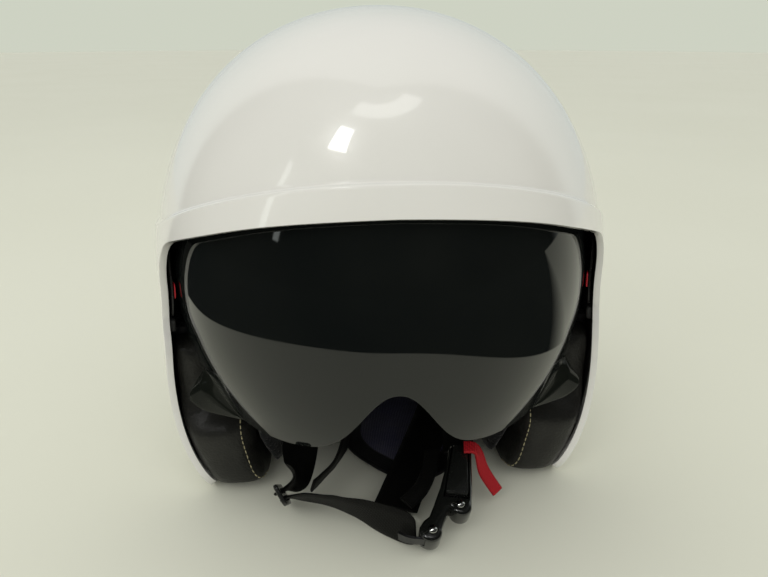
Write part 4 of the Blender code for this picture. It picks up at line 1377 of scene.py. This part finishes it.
def closed_ring(points, count, corner=0.18):
    """A closed outline through points, sampled, with its corners eased."""
    pts = [Vector((x, y, 0)) for x, y in points]
    n = len(pts)
    rough = []
    for i in range(n):
        a, b, c = pts[i - 1], pts[i], pts[(i + 1) % n]
        p0 = b.lerp(a, corner)
        p2 = b.lerp(c, corner)
        for k in range(6):
            t = k / 5
            rough.append(p0 * (1 - t) ** 2 + b * 2 * t * (1 - t) + p2 * t * t)
    rough.append(rough[0])
    total = [0.0]
    for a, b in zip(rough, rough[1:]):
        total.append(total[-1] + (b - a).length)
    out, k = [], 0
    for i in range(count):
        s = total[-1] * i / count
        while total[k + 1] < s:
            k += 1
        span = total[k + 1] - total[k]
        out.append(rough[k].lerp(rough[k + 1], 0.0 if span == 0 else (s - total[k]) / span))
    return out


def panel_outline(z, z0=4.0, z1=88.0):
    k = squeeze(z, z0 - 1.0, z1 + 1.0, 13.0)
    wall_gap = SHELL_T + 1.5 + 1.2 * (1.0 - smooth(z / 24.0))
    outer_front = side_x(-66.5, z, wall_gap)
    outer_mid = side_x(-43.5, z, wall_gap)
    seam = 78.0 - 9.0 * (1 - smooth((z - z0) / 26.0))
    k = squeeze(z, z0 - 1.0, z1 + 1.0, 7.0)
    depth = 13.5 * k * (1.0 - smooth((z - 40.0) / 14.0)) - 3.0 * smooth((z - 44.0) / 14.0)
    # the outer edge of the cover is tucked just behind the shell's edge
    rim = min(-65.0, -75.5 + 4.5 * smooth(z / 40.0) + 5.0 * smooth((z - 44.0) / 20.0))
    return [(outer_mid, -43.5), (outer_front, rim + 3.0), (outer_front - 1.0, rim),
            (outer_front - 6.0, min(rim - 0.5, -67.5 - 0.85 * depth)),
            (outer_front * 0.6 + seam * 0.4, -67.5 - depth),
            (outer_front * 0.3 + seam * 0.7, -67.0 - depth),
            (seam + 2.0, -65.5 - 0.8 * depth), (seam, -60.0), (seam, -43.5)]


def cushion_outline(z, z0=5.0, z1=88.0):
    k = squeeze(z, z0 - 1.0, z1 + 1.0, 18.0)
    seam = 77.4 - 9.0 * (1 - smooth((z - 4.0) / 26.0))
    inner = seam - 3.0 - 11.0 * k
    back = side_x(2.0, z, SHELL_T + 1.6) - 15.2
    back2 = side_x(-42.5, z, SHELL_T + 1.6) - 15.2
    return [(seam - 0.2, -60.0), (seam - 1.5, -63.0 - 6.0 * k), (inner + 2.5, -61.0 - 5.0 * k),
            (inner, -52.0), (inner - 1.0, -30.0), (inner + 1.0, -6.0), (inner + 6.0, 6.0),
            (back - 4.0, 8.0), (back, 2.0), (min(back2, back), -42.8), (seam - 0.2, -43.0)]


for sign, side in ((-1, "right"), (1, "left")):
    for name, outline, z0, z1, mat, node, fill, lim, vox in (
            ("cheek_leather", panel_outline, 3.4, 88.0, M_LEATHER, "cheek_panel", 0.8, 1.2, 2.2),
            ("cheek_mesh_pad", cushion_outline, 5.2, 87.6, M_MESH, "cheek_cushion", 0.7, 2.6, 3.6)):
        rings = []
        for k in range(41):
            z = z0 + (z1 - z0) * k / 40
            rings.append([Vector((sign * p.x, p.y, z)) for p in closed_ring(outline(z), 56, 0.14)])
        pad = loft(f"{name}_{side}", rings, mat)
        inflate(pad, voxel=vox, pressure=3.0, limit=lim, shrink=0.1 if vox < 3 else 1.4, relax=2 if vox < 3 else 5)
        piece(pad, "helmet", f"{node}_{side}")
        if name == "cheek_leather":
            leather = pad
        else:
            mesh_pad = pad
    # a row of pale stitches along the front seam
    both = [tree_of(leather), tree_of(mesh_pad)]
    seam_path = [(84.3, 62), (83.2, 46), (82.3, 34), (80.6, 24), (77.8, 14), (74.6, 8.4), (70.5, 6.0)]
    line = resample(catmull([(sign * x, -60.0, z) for x, z in seam_path], 60), 0.8)
    found, normals = [], []
    for p in line:
        best = None
        for t in both:
            hit, nrm, _, _ = t.ray_cast(Vector((p.x, -125.0, p.z)) * MM, Vector((0, 1, 0)))
            if hit is not None and (best is None or hit.y < best[0].y):
                best = (hit / MM, nrm)
        if best is not None and (not found or abs(best[0].y - found[-1].y) < 3.0):
            found.append(best[0] + best[1] * 0.05)
            normals.append(best[1])
    if len(found) > 4:
        row = stitches(f"cheek_stitches_{side}", found, normals, M_THREAD, 2.4, 0.9, 0.62, 0.05)
        extra(row, "helmet")

# ---------------------------------------------------------------- neck roll
rings = []
for i in range(97):
    t = -1.0 + 2.0 * i / 96
    a = math.radians(90.0 - 50.0 * t)
    out = Vector((math.cos(a), math.sin(a), 0.0))
    low = 8.0 + 10.0 * (1 - abs(t)) ** 0.5
    end = 0.25 + 0.75 * math.sqrt(max(0.0, 1 - abs(t) ** 8))
    # sewn across every 30 mm or so, so that it looks quilted
    pinch = 1.0 - 0.13 * math.exp(-(math.sin(t * math.pi * 3.5) / 0.16) ** 2)
    ring = []
    for u, v in rounded(9.0 * end * pinch, 14.0 * end * (1 + pinch) / 2, 6.5 * end * pinch, 6):
        z = low + 14.0 + v
        base = on_shell(Vector(CENTRE) + out * 100 + Vector((0, 0, z - CENTRE[2])), SHELL_T)
        level = Vector((base.x, base.y - CENTRE[1], 0.0))
        reach = level.length - 12.5 + u
        ring.append(Vector((CENTRE[0], CENTRE[1], z)) + level.normalized() * reach)
    rings.append(ring)
roll = loft("neck_roll_pad", rings, M_ROLL)
inflate(roll, voxel=3.6, pressure=3.0, limit=1.6, shrink=0.8, relax=3)
piece(roll, "helmet", "neck_roll")
roll_tree = tree_of(roll)
line = []
for i in range(140):
    t = -0.93 + 1.86 * i / 139
    a = math.radians(90.0 - 50.0 * t)
    line.append((math.cos(a), math.sin(a), 8.0 + 10.0 * (1 - abs(t)) ** 0.5 + 20.0))
found, normals = [], []
for cx, cy, z in line:
    o = Vector((0, CENTRE[1], z)) * MM
    hit, nrm, _, _ = roll_tree.ray_cast(o, Vector((cx, cy, 0)))
    if hit is not None:
        found.append(hit / MM + nrm * 0.05)
        normals.append(nrm)
if len(found) > 4:
    extra(stitches("neck_roll_stitches", resample(found, 1.2), [normals[min(len(normals) - 1, int(k * len(normals) / max(1, len(resample(found, 1.2)))))] for k in range(len(resample(found, 1.2)))],
                   M_THREAD_DARK, 3.0, 1.0, 0.6, 0.05), "helmet")

# ---------------------------------------------------------------- neck curtain
CURTAIN_X, CURTAIN_Y = 16.0, -81.0


def curtain_point(a, s):
    """s from 0 in the middle to 1 at the hem."""
    rx = 42.0
    ry = 47.0 if math.sin(a) < 0 else 62.0
    y = CURTAIN_Y + 47.0 + (ry * s) * math.sin(a)
    x = CURTAIN_X + (rx * s) * math.cos(a) * (1.0 - 0.18 * smooth(-math.sin(a)))
    wave = 0.75 * math.sin(x * 0.105 + y * 0.06) + 0.45 * math.sin(y * 0.17 - x * 0.05)
    return Vector((x, y, 5.6 + wave * 0.9 * s))


def sheet_mesh(name, s0, s1, rings, around, thick, mat, lift=0.0):
    verts = []
    centre = s0 <= 0
    if centre:
        verts.append(curtain_point(0, 0))
    for j in range(rings + 1):
        s = s0 + (s1 - s0) * j / rings
        if centre and j == 0:
            continue
        for k in range(around):
            verts.append(curtain_point(math.tau * k / around, s) + Vector((0, 0, lift)))
    faces = []
    first = 1 if centre else 0
    if centre:
        faces = [(0, 1 + k, 1 + (k + 1) % around) for k in range(around)]
    count = rings if centre else rings + 1
    for j in range(count - 1):
        for k in range(around):
            a, b = first + j * around + k, first + j * around + (k + 1) % around
            faces.append((a, a + around, b + around, b))
    obj = emit(name, verts, faces, mat, smooth=60.0)
    area = sum(p.area for p in obj.data.polygons)
    orient(obj, (CURTAIN_X, CURTAIN_Y + 50, -200))
    solidify(obj, thick, 0.0)
    bake(obj)
    return obj, area


curtain, cloth_area = sheet_mesh("neck_curtain_cloth", 0.0, 0.985, 26, 96, 0.9, M_LINING)
piece(curtain, "helmet", "neck_curtain")
hem, _ = sheet_mesh("neck_curtain_hem", 0.72, 1.0, 8, 96, 1.9, M_BINDING)
layer = hem.data.uv_layers.new(name="weave")
for poly in hem.data.polygons:
    for li in poly.loop_indices:
        co = hem.data.vertices[hem.data.loops[li].vertex_index].co / MM
        layer.data[li].uv = (co.x, co.y)
extra(hem, "helmet")

# ---------------------------------------------------------------- harness
SLIDER = plate_frame((-59.5, -100.0, 14.2), (0.5, -0.54, -0.68), (0.865, 0.31, 0.39))
SLOT_LEG, SLOT_CHIN = -1.9, 2.6
slider = prism("slider_body", SLIDER, rounded(6.2, 14.2, 3.0, 8),
               [(-1.2, 0.75), (-1.0, 0.3), (-0.6, 0.0), (0.6, 0.0), (1.0, 0.3), (1.2, 0.75)], M_SLIDER)
cutters = []
for u, half in ((SLOT_LEG, 11.2), (SLOT_CHIN, 12.2)):
    cutters.append(prism("slider_cut", SLIDER, [(u - 1.6, -half), (u + 1.6, -half), (u + 1.6, half), (u - 1.6, half)],
                         [(-3.0, 0.0), (3.0, 0.0)], M_SLIDER))
cut(slider, *cutters)
bevel(slider, 0.28, 2, 50.0)
piece(bake(slider), "helmet", "strap_slider")

RIBBONS = {
    "harness_front_right": (
        [(-106, 34, 44), (-86, 34, 38), (-55, 14, 33), (-47, -24, 30), (-50.5, -66, 24), (-51.5, -84, 20), (-53.0, -93.0, 18),
         in_frame(SLIDER, SLOT_LEG, 0, 2.0), in_frame(SLIDER, SLOT_LEG, 0, -1.6)],
        [(0, 0.1, 1), (0.1, 0.3, 1), (0.7, 0.3, 0.6), (1, 0, 0.3), (0.85, 0.3, -0.1), (0.6, 0.55, -0.4),
         (0.3, 0.7, -0.5), SLIDER[2], SLIDER[2]], 21.0, WEB_T, 190),
    "harness_rear_right": (
        [(-102, 54, 44), (-84, 52, 32), (-44, 34, 20), (-26, -16, 19), (-24.6, -58, 21), (-30.5, -76.6, 17), (-38.6, -85.6, 13.0), (-43.4, -90.4, 11.4)],
        [(0, 0.1, 1), (0.1, 0.4, 1), (0.7, 0.4, 0.6), (0.6, 0.1, -0.8), (0.2, 0.4, -0.9), (-0.05, 0.6, -0.75), (-0.05, 0.6, -0.75), (-0.05, 0.55, -0.78)],
        17.0, WEB_T, 190),
    "harness_front_left": (
        [(106, 34, 44), (86, 34, 40), (57, 14, 38), (48, -24, 38), (44, -56, 33), (40.6, -79.4, 24.8)],
        [(0, 0.1, 1), (-0.1, 0.3, 1), (-0.7, 0.3, 0.5), (-0.95, 0.2, 0.1), (-0.9, 0.2, -0.4), (-0.74, 0.09, -0.66)],
        21.0, WEB_T, 170),
    "harness_rear_left": (
        [(102, 54, 44), (84, 52, 32), (54, 32, 15), (36, -20, 11), (20, -62, 10), (1.8, -106.4, 6.8)],
        [(0, 0.1, 1), (-0.1, 0.4, 1), (-0.8, 0.5, 0.2), (-0.95, 0.25, 0.05), (-0.93, 0.35, 0.0), (-0.93, 0.35, 0.0)],
        WEB_W, WEB_T, 190),
    "strap_tail": (
        [(25.5, -80, 24), (22.2, -92.0, 20), (15.8, -103.4, 16), (7.0, -111, 13.5)],
        [(0.9, 0.3, 0.3), (0.93, 0.3, 0.2), (0.93, 0.3, 0.1), (0.93, 0.3, 0.1)], 9.0, WEB_T, 60),
    "chin_strap": (
        [in_frame(SLIDER, SLOT_CHIN, 0, -1.6), in_frame(SLIDER, SLOT_CHIN, 0, 2.0), (-47.0, -100.8, 12.4), (-34.0, -103.4, 11.2), (-22.5, -109.9, 11.5), (-4.7, -122.6, 12.9), (9.6, -131.6, 13.2)],
        [-SLIDER[2], -SLIDER[2], (-0.05, -0.65, 0.75), (0.0, -0.6, 0.8), (0.05, -0.51, 0.86), (0.2, -0.25, 0.94), (0.16, -0.19, 0.97)],
        23.0, 2.0, 150),
}
for name, (path, across, width, thick, samples) in RIBBONS.items():
    tape = fine_ribbon(name + "_tape", path, across, width - 0.2, thick, M_WEB, samples,
                       round_end=(name == "chin_strap"), ripple=0.12)
    piece(tape, "helmet", name)

# ---------------------------------------------------------------- buckle

BUCKLE = plate_frame((17.6, -141.1, 11.7), (0.987, -0.126, -0.098), (0.05, -0.34, 0.94))
BUCKLE_U, BUCKLE_V, BUCKLE_N = BUCKLE[1:]
BUCKLE_T = 11.2
LOBE_LONG = (-1.4, 8.8, 6.0)      # u, v, radius
LOBE_SHORT = (14.3, 24.8, 5.7)
TROUGH_DEPTH = 3.8
LEVER_T = 3.4
PIN_V = 33.0
PIN_W = -5.4


def at_buckle(u, v, w):
    return in_frame(BUCKLE, u, v, w)


def arc(centre_u, centre_v, r, start, stop, steps):
    return [(centre_u + r * math.cos(math.radians(start + (stop - start) * k / steps)),
             centre_v + r * math.sin(math.radians(start + (stop - start) * k / steps)))
            for k in range(steps + 1)]


def housing_outline():
    return (arc(*LOBE_LONG, 170, 372, 9)
            + [(5.9, 15.2), (6.7, 18.8), (7.9, 21.2)]
            + arc(*LOBE_SHORT, 198, 372, 8)
            + [(20.4, 34.0), (20.4, 58.5), (19.2, 61.6), (16.6, 62.4),
               (11.6, 62.4), (8.6, 61.6), (7.0, 58.0),
               (6.1, 48.4), (3.0, 34.3), (-0.2, 23.4), (-2.4, 16.6), (-5.2, 13.8)])



def arc(centre_u, centre_v, r, start, stop, steps):
    steps *= 4
    return [(centre_u + r * math.cos(math.radians(start + (stop - start) * k / steps)),
             centre_v + r * math.sin(math.radians(start + (stop - start) * k / steps)))
            for k in range(steps + 1)]


housing = prism("buckle_body", BUCKLE, housing_outline(),
                [(-BUCKLE_T, 1.3), (-BUCKLE_T + 0.35, 0.6), (-BUCKLE_T + 1.0, 0.15), (-BUCKLE_T + 1.8, 0.0),
                 (-2.0, 0.0), (-1.3, 0.12), (-0.75, 0.42), (-0.35, 0.85), (-0.1, 1.35), (0.0, 1.9)], M_GLOSS)
cutters = [
    prism("trough", BUCKLE, [(4.6, 28.2), (18.8, 28.2), (18.8, 66.0), (9.6, 66.0)], [(-TROUGH_DEPTH, 0.0), (3.0, 0.0)], M_GLOSS),
    prism("seat", BUCKLE, [(5.6, PIN_V - 4.3), (18.2, PIN_V - 4.3), (18.2, PIN_V + 2.2), (5.6, PIN_V + 2.2)],
          [(-7.4, 0.0), (-TROUGH_DEPTH + 0.5, 0.0)], M_GLOSS),
    prism("mouth", BUCKLE, [(-10.0, 3.4), (0.0, 3.4), (0.0, 5.8), (-10.0, 5.8)], [(-7.7, 0.0), (-1.5, 0.0)], M_GLOSS),
]
cut(housing, *cutters)
bevel(housing, 0.22, 2, 55.0)
piece(bake(housing), "helmet", "buckle_housing")

lever = prism("lever_body", BUCKLE,
              [(5.9, 32.0), (6.5, 31.25), (7.6, 31.0), (16.6, 31.0), (17.7, 31.4), (18.3, 32.4), (18.3, 60.6),
               (17.7, 61.9), (16.8, 62.4), (11.2, 62.4), (10.2, 61.8), (9.7, 60.6)],
              [(0.3 - LEVER_T - 0.1, 0.4), (-2.6, 0.0), (-0.9, 0.0), (-0.3, 0.2), (0.1, 0.6), (0.3, 1.2)], M_LEVER)
bevel(lever, 0.2, 2, 55.0)
piece(bake(lever), "buckle_catch", "buckle_lever")

for name, (u, v) in (("long", (-0.6, 8.9)), ("short", (13.6, 24.9))):
    rivet = turned(f"rivet_{name}", at_buckle(u, v, 0.3), BUCKLE_N,
                   [(2.25, -0.05), (2.3, 0.1), (2.28, 0.35), (2.1, 0.62), (1.75, 0.86), (1.3, 1.02), (0.7, 1.12), (0.15, 1.15)],
                   M_CHROME, 40)
    piece(rivet, "helmet", f"buckle_rivet_{name}")

tab = fine_ribbon("pull_tab_tape",
                  [at_buckle(15.4, 59.4, 1.8), at_buckle(21.4, 59.6, 1.8), at_buckle(25.0, 59.0, -3.5),
                   Vector((54.0, -91.0, 16.0)), Vector((61.0, -96.5, 6.0))],
                  [BUCKLE_V, BUCKLE_V, BUCKLE_V + BUCKLE_U * 0.4, (0.83, 0.53, 0.1), (0.83, 0.55, 0.1)],
                  8.0, 2.0, M_TAB, 70, crown=0.12)
piece(tab, "release_strap", "pull_tab")

# ---------------------------------------------------------------- carried-over nodes
KEPT = {
    "visor_hub": M_HUB, "pivot_screw": M_STEEL, "friction_washer": M_STEEL, "pivot_plate": M_HUB,
    "visor_stop": M_RUBBER, "visor_release": M_RED, "cheek_foam": M_FOAM, "strap_anchor": M_STEEL,
    "anchor_rivet": M_STEEL, "lever_pin": M_STEEL, "ratchet_tongue": M_BLACK_STEEL,
}
for name, obj in frame["nodes"].items():
    for key, mat in KEPT.items():
        if name.startswith(key):
            for slot in obj.material_slots:
                slot.link = "OBJECT"
                slot.material = mat

# ---------------------------------------------------------------- stage


def stage_material():
    """Pale matt table. Mirror-like surfaces see the table up to a rounded line in front, and past it a near-black
    glow that is a painted reflection of a darker room; everything else sees the plain table."""
    s = Surface("table_pale", (0.71, 0.715, 0.635), 0.6, Specular_IOR_Level=0.15)
    s.paint(s.colours(s.noise(400.0, 2.0), (0.3, (0.705, 0.71, 0.625)), (0.7, (0.72, 0.725, 0.643))))
    s.bump(s.noise(2.0, 3.0), 0.02)
    pos = s.node("ShaderNodeNewGeometry").outputs["Position"]
    xyz = s.node("ShaderNodeSeparateXYZ")
    s.link(pos, xyz.inputs[0])
    x, y = xyz.outputs[0], xyz.outputs[1]
    # the painted dark reflection lies past a rounded line: 0.34 m to the wearer's right, 0.25 m to the left and 0.38
    # m in front; towards the back the line runs straight on
    across = s.maths("ADD", x, 0.02)
    wide = s.maths("ADD", s.maths("MULTIPLY", s.maths("MAXIMUM", across, 0.0), 1 / 0.252),
                   s.maths("MULTIPLY", s.maths("MAXIMUM", s.maths("MULTIPLY", across, -1.0), 0.0), 1 / 0.338))
    deep = s.maths("MULTIPLY", s.maths("MAXIMUM", s.maths("MULTIPLY", y, -1.0), 0.0), 1 / 0.378)
    reach = s.maths("ADD", s.maths("POWER", wide, 2.3), s.maths("POWER", deep, 2.3))
    beyond = s.spread(reach, 0.985, 1.015)
    # behind the part the painted dark reflection stops, so reflections show the table pale again, on the left sooner
    slope = s.maths("ADD", s.maths("MULTIPLY", s.maths("MAXIMUM", across, 0.0), 0.02),
                    s.maths("MULTIPLY", s.maths("MAXIMUM", s.maths("MULTIPLY", across, -1.0), 0.0), 0.62))
    front = s.spread(s.maths("SUBTRACT", y, slope), -0.06, 0.02, 1.0, 0.0)
    painted_reflection_zone = s.maths("MULTIPLY", beyond, front)
    path = s.node("ShaderNodeLightPath")
    # painted reflection: only glossy rays see the dark zone, as a near-black room
    dark = s.maths("MULTIPLY", painted_reflection_zone, path.outputs["Is Glossy Ray"])
    out = s.tree.nodes["Material Output"]
    mix = s.node("ShaderNodeMixShader")
    # the near-black glow painted into the table's reflections
    room = s.node("ShaderNodeEmission", Strength=1.0)
    room.inputs["Color"].default_value = (0.012, 0.014, 0.014, 1.0)
    s.link(dark, mix.inputs[0])
    s.link(s.bsdf.outputs[0], mix.inputs[1])
    s.link(room.outputs[0], mix.inputs[2])
    s.link(mix.outputs[0], out.inputs["Surface"])
    return s.mat


def floor_mesh():
    """A flat round table top, centred on the part."""
    verts = [(0, 0, -0.4)]
    rings = [200, 500, 1000, 2000, 3500, 6000, 9000]
    around = 96
    for r in rings:
        for k in range(around):
            a = math.tau * k / around
            verts.append((r * math.cos(a), r * math.sin(a), -0.4))
    faces = [(0, 1 + k, 1 + (k + 1) % around) for k in range(around)]
    for j in range(len(rings) - 1):
        for k in range(around):
            a, b = 1 + j * around + k, 1 + j * around + (k + 1) % around
            faces.append((a, a + around, b + around, b))
    return emit("table_top", verts, faces, stage_material())


floor = floor_mesh()
floor.location.z = 0.0


def make_world():
    world = bpy.data.worlds.new("studio")
    bpy.context.scene.world = world
    world.use_nodes = True
    tree = world.node_tree
    tree.nodes.clear()
    N, L = tree.nodes.new, tree.links.new

    def m(op, a, b=None, c=None):
        n = N("ShaderNodeMath")
        n.operation = op
        for slot, value in zip(n.inputs, (a, b, c)):
            if value is None:
                continue
            if isinstance(value, (int, float)):
                slot.default_value = value
            else:
                L(value, slot)
        return n.outputs[0]

    def ramp(value, lo, hi):
        n = N("ShaderNodeMapRange")
        n.interpolation_type = "SMOOTHSTEP"
        n.inputs["From Min"].default_value = lo
        n.inputs["From Max"].default_value = hi
        L(value, n.inputs["Value"])
        return n.outputs[0]
    coord = N("ShaderNodeTexCoord")
    xyz = N("ShaderNodeSeparateXYZ")
    L(coord.outputs["Generated"], xyz.inputs[0])
    x, y, z = xyz.outputs
    azimuth = m("ARCTAN2", x, m("MULTIPLY", y, -1.0))      # 0 in front, + to +X
    # the wall behind and beside the part is pale; the room in front is dark
    back = m("MAXIMUM", ramp(azimuth, 1.72, 1.95), ramp(m("MULTIPLY", azimuth, -1.0), 2.10, 2.22))
    ceiling = ramp(z, 0.45, 0.95)

    def window(az, el, half_az, half_el, soft=0.02):
        a = m("ABSOLUTE", m("SUBTRACT", azimuth, math.radians(az)))
        e = m("ABSOLUTE", m("SUBTRACT", m("ARCSINE", z), math.radians(el)))
        return m("MULTIPLY", ramp(a, math.radians(half_az) + soft, math.radians(half_az)),
                 ramp(e, math.radians(half_el) + soft, math.radians(half_el)))
    windows = WINDOWS
    total = None
    for az, el, ha, he, power in windows:
        w = m("MULTIPLY", window(az, el, ha, he), power)
        total = w if total is None else m("ADD", total, w)
    level = m("ADD", 0.006, m("ADD", m("MULTIPLY", back, 0.60), m("MULTIPLY", ceiling, 0.07)))
    glossy = N("ShaderNodeBackground")
    colour = N("ShaderNodeMix")
    colour.data_type = "RGBA"
    colour.inputs[6].default_value = (0.93, 1.0, 0.95, 1.0)
    colour.inputs[7].default_value = (1.0, 1.0, 0.98, 1.0)
    L(ceiling, colour.inputs[0])
    L(colour.outputs[2], glossy.inputs["Color"])
    L(m("ADD", level, total), glossy.inputs["Strength"])
    plain = N("ShaderNodeBackground")
    plain.inputs["Color"].default_value = (1.0, 1.0, 0.93, 1.0)
    # soft daylight from the wearer's right and above
    L(m("ADD", 0.80, m("ADD", m("MULTIPLY", ramp(x, 0.6, -1.0), 0.14), m("MULTIPLY", ramp(y, 0.3, -0.8), 0.16))), plain.inputs["Strength"])
    seen = N("ShaderNodeBackground")
    seen.inputs["Color"].default_value = (0.615, 0.645, 0.545, 1.0)
    seen.inputs["Strength"].default_value = 1.0
    path = N("ShaderNodeLightPath")
    mix1, mix2 = N("ShaderNodeMixShader"), N("ShaderNodeMixShader")
    L(path.outputs["Is Glossy Ray"], mix1.inputs[0])
    L(plain.outputs[0], mix1.inputs[1])
    L(glossy.outputs[0], mix1.inputs[2])
    L(path.outputs["Is Camera Ray"], mix2.inputs[0])
    L(mix1.outputs[0], mix2.inputs[1])
    L(seen.outputs[0], mix2.inputs[2])
    out = N("ShaderNodeOutputWorld")
    L(mix2.outputs[0], out.inputs["Surface"])


# azimuth, elevation, half width, half height (degrees), brightness
WINDOWS = [(-36.0, 62.0, 7.0, 5.0, 14.0), (-62.0, 30.0, 1.2, 14.0, 2.2), (15.0, 78.0, 60.0, 3.0, 2.0)]
make_world()


def area_light(name, place, target, size, power, colour=(1.0, 1.0, 0.96)):
    data = bpy.data.lights.new(name, "AREA")
    data.shape = "RECTANGLE"
    data.size, data.size_y = size
    data.energy = power
    data.color = colour
    obj = bpy.data.objects.new(name, data)
    bpy.context.scene.collection.objects.link(obj)
    obj.location = place
    obj.visible_glossy = False
    obj.rotation_euler = (Vector(target) - Vector(place)).to_track_quat("-Z", "Y").to_euler()
    return obj


area_light("ceiling_panel", (-0.45, 0.35, 1.35), (0, 0, 0.1), (0.9, 0.9), 1.3)
area_light("front_fill", (-0.7, -0.9, 0.9), (0, 0, 0.12), (0.7, 0.5), 1.2)

# ---------------------------------------------------------------- camera
TURN, DIP = math.radians(4.3), math.radians(21.9)
forward = Vector((math.sin(TURN) * math.cos(DIP), math.cos(TURN) * math.cos(DIP), -math.sin(DIP)))
right = Vector((math.cos(TURN), -math.sin(TURN), 0.0))
above = right.cross(forward)
camera_data = bpy.data.cameras.new("camera")
camera_data.lens = 643.0 / 768.0 * 36.0
camera_data.sensor_width = 36.0
camera_data.sensor_fit = "HORIZONTAL"
camera_data.clip_start = 0.01
camera = bpy.data.objects.new("camera", camera_data)
bpy.context.scene.collection.objects.link(camera)
camera.matrix_world = Matrix((
    (right.x, above.x, -forward.x, -0.0255), (right.y, above.y, -forward.y, -0.3868),
    (right.z, above.z, -forward.z, 0.2494), (0.0, 0.0, 0.0, 1.0)))
bpy.context.scene.camera = camera
bpy.context.scene.view_settings.view_transform = "Standard"
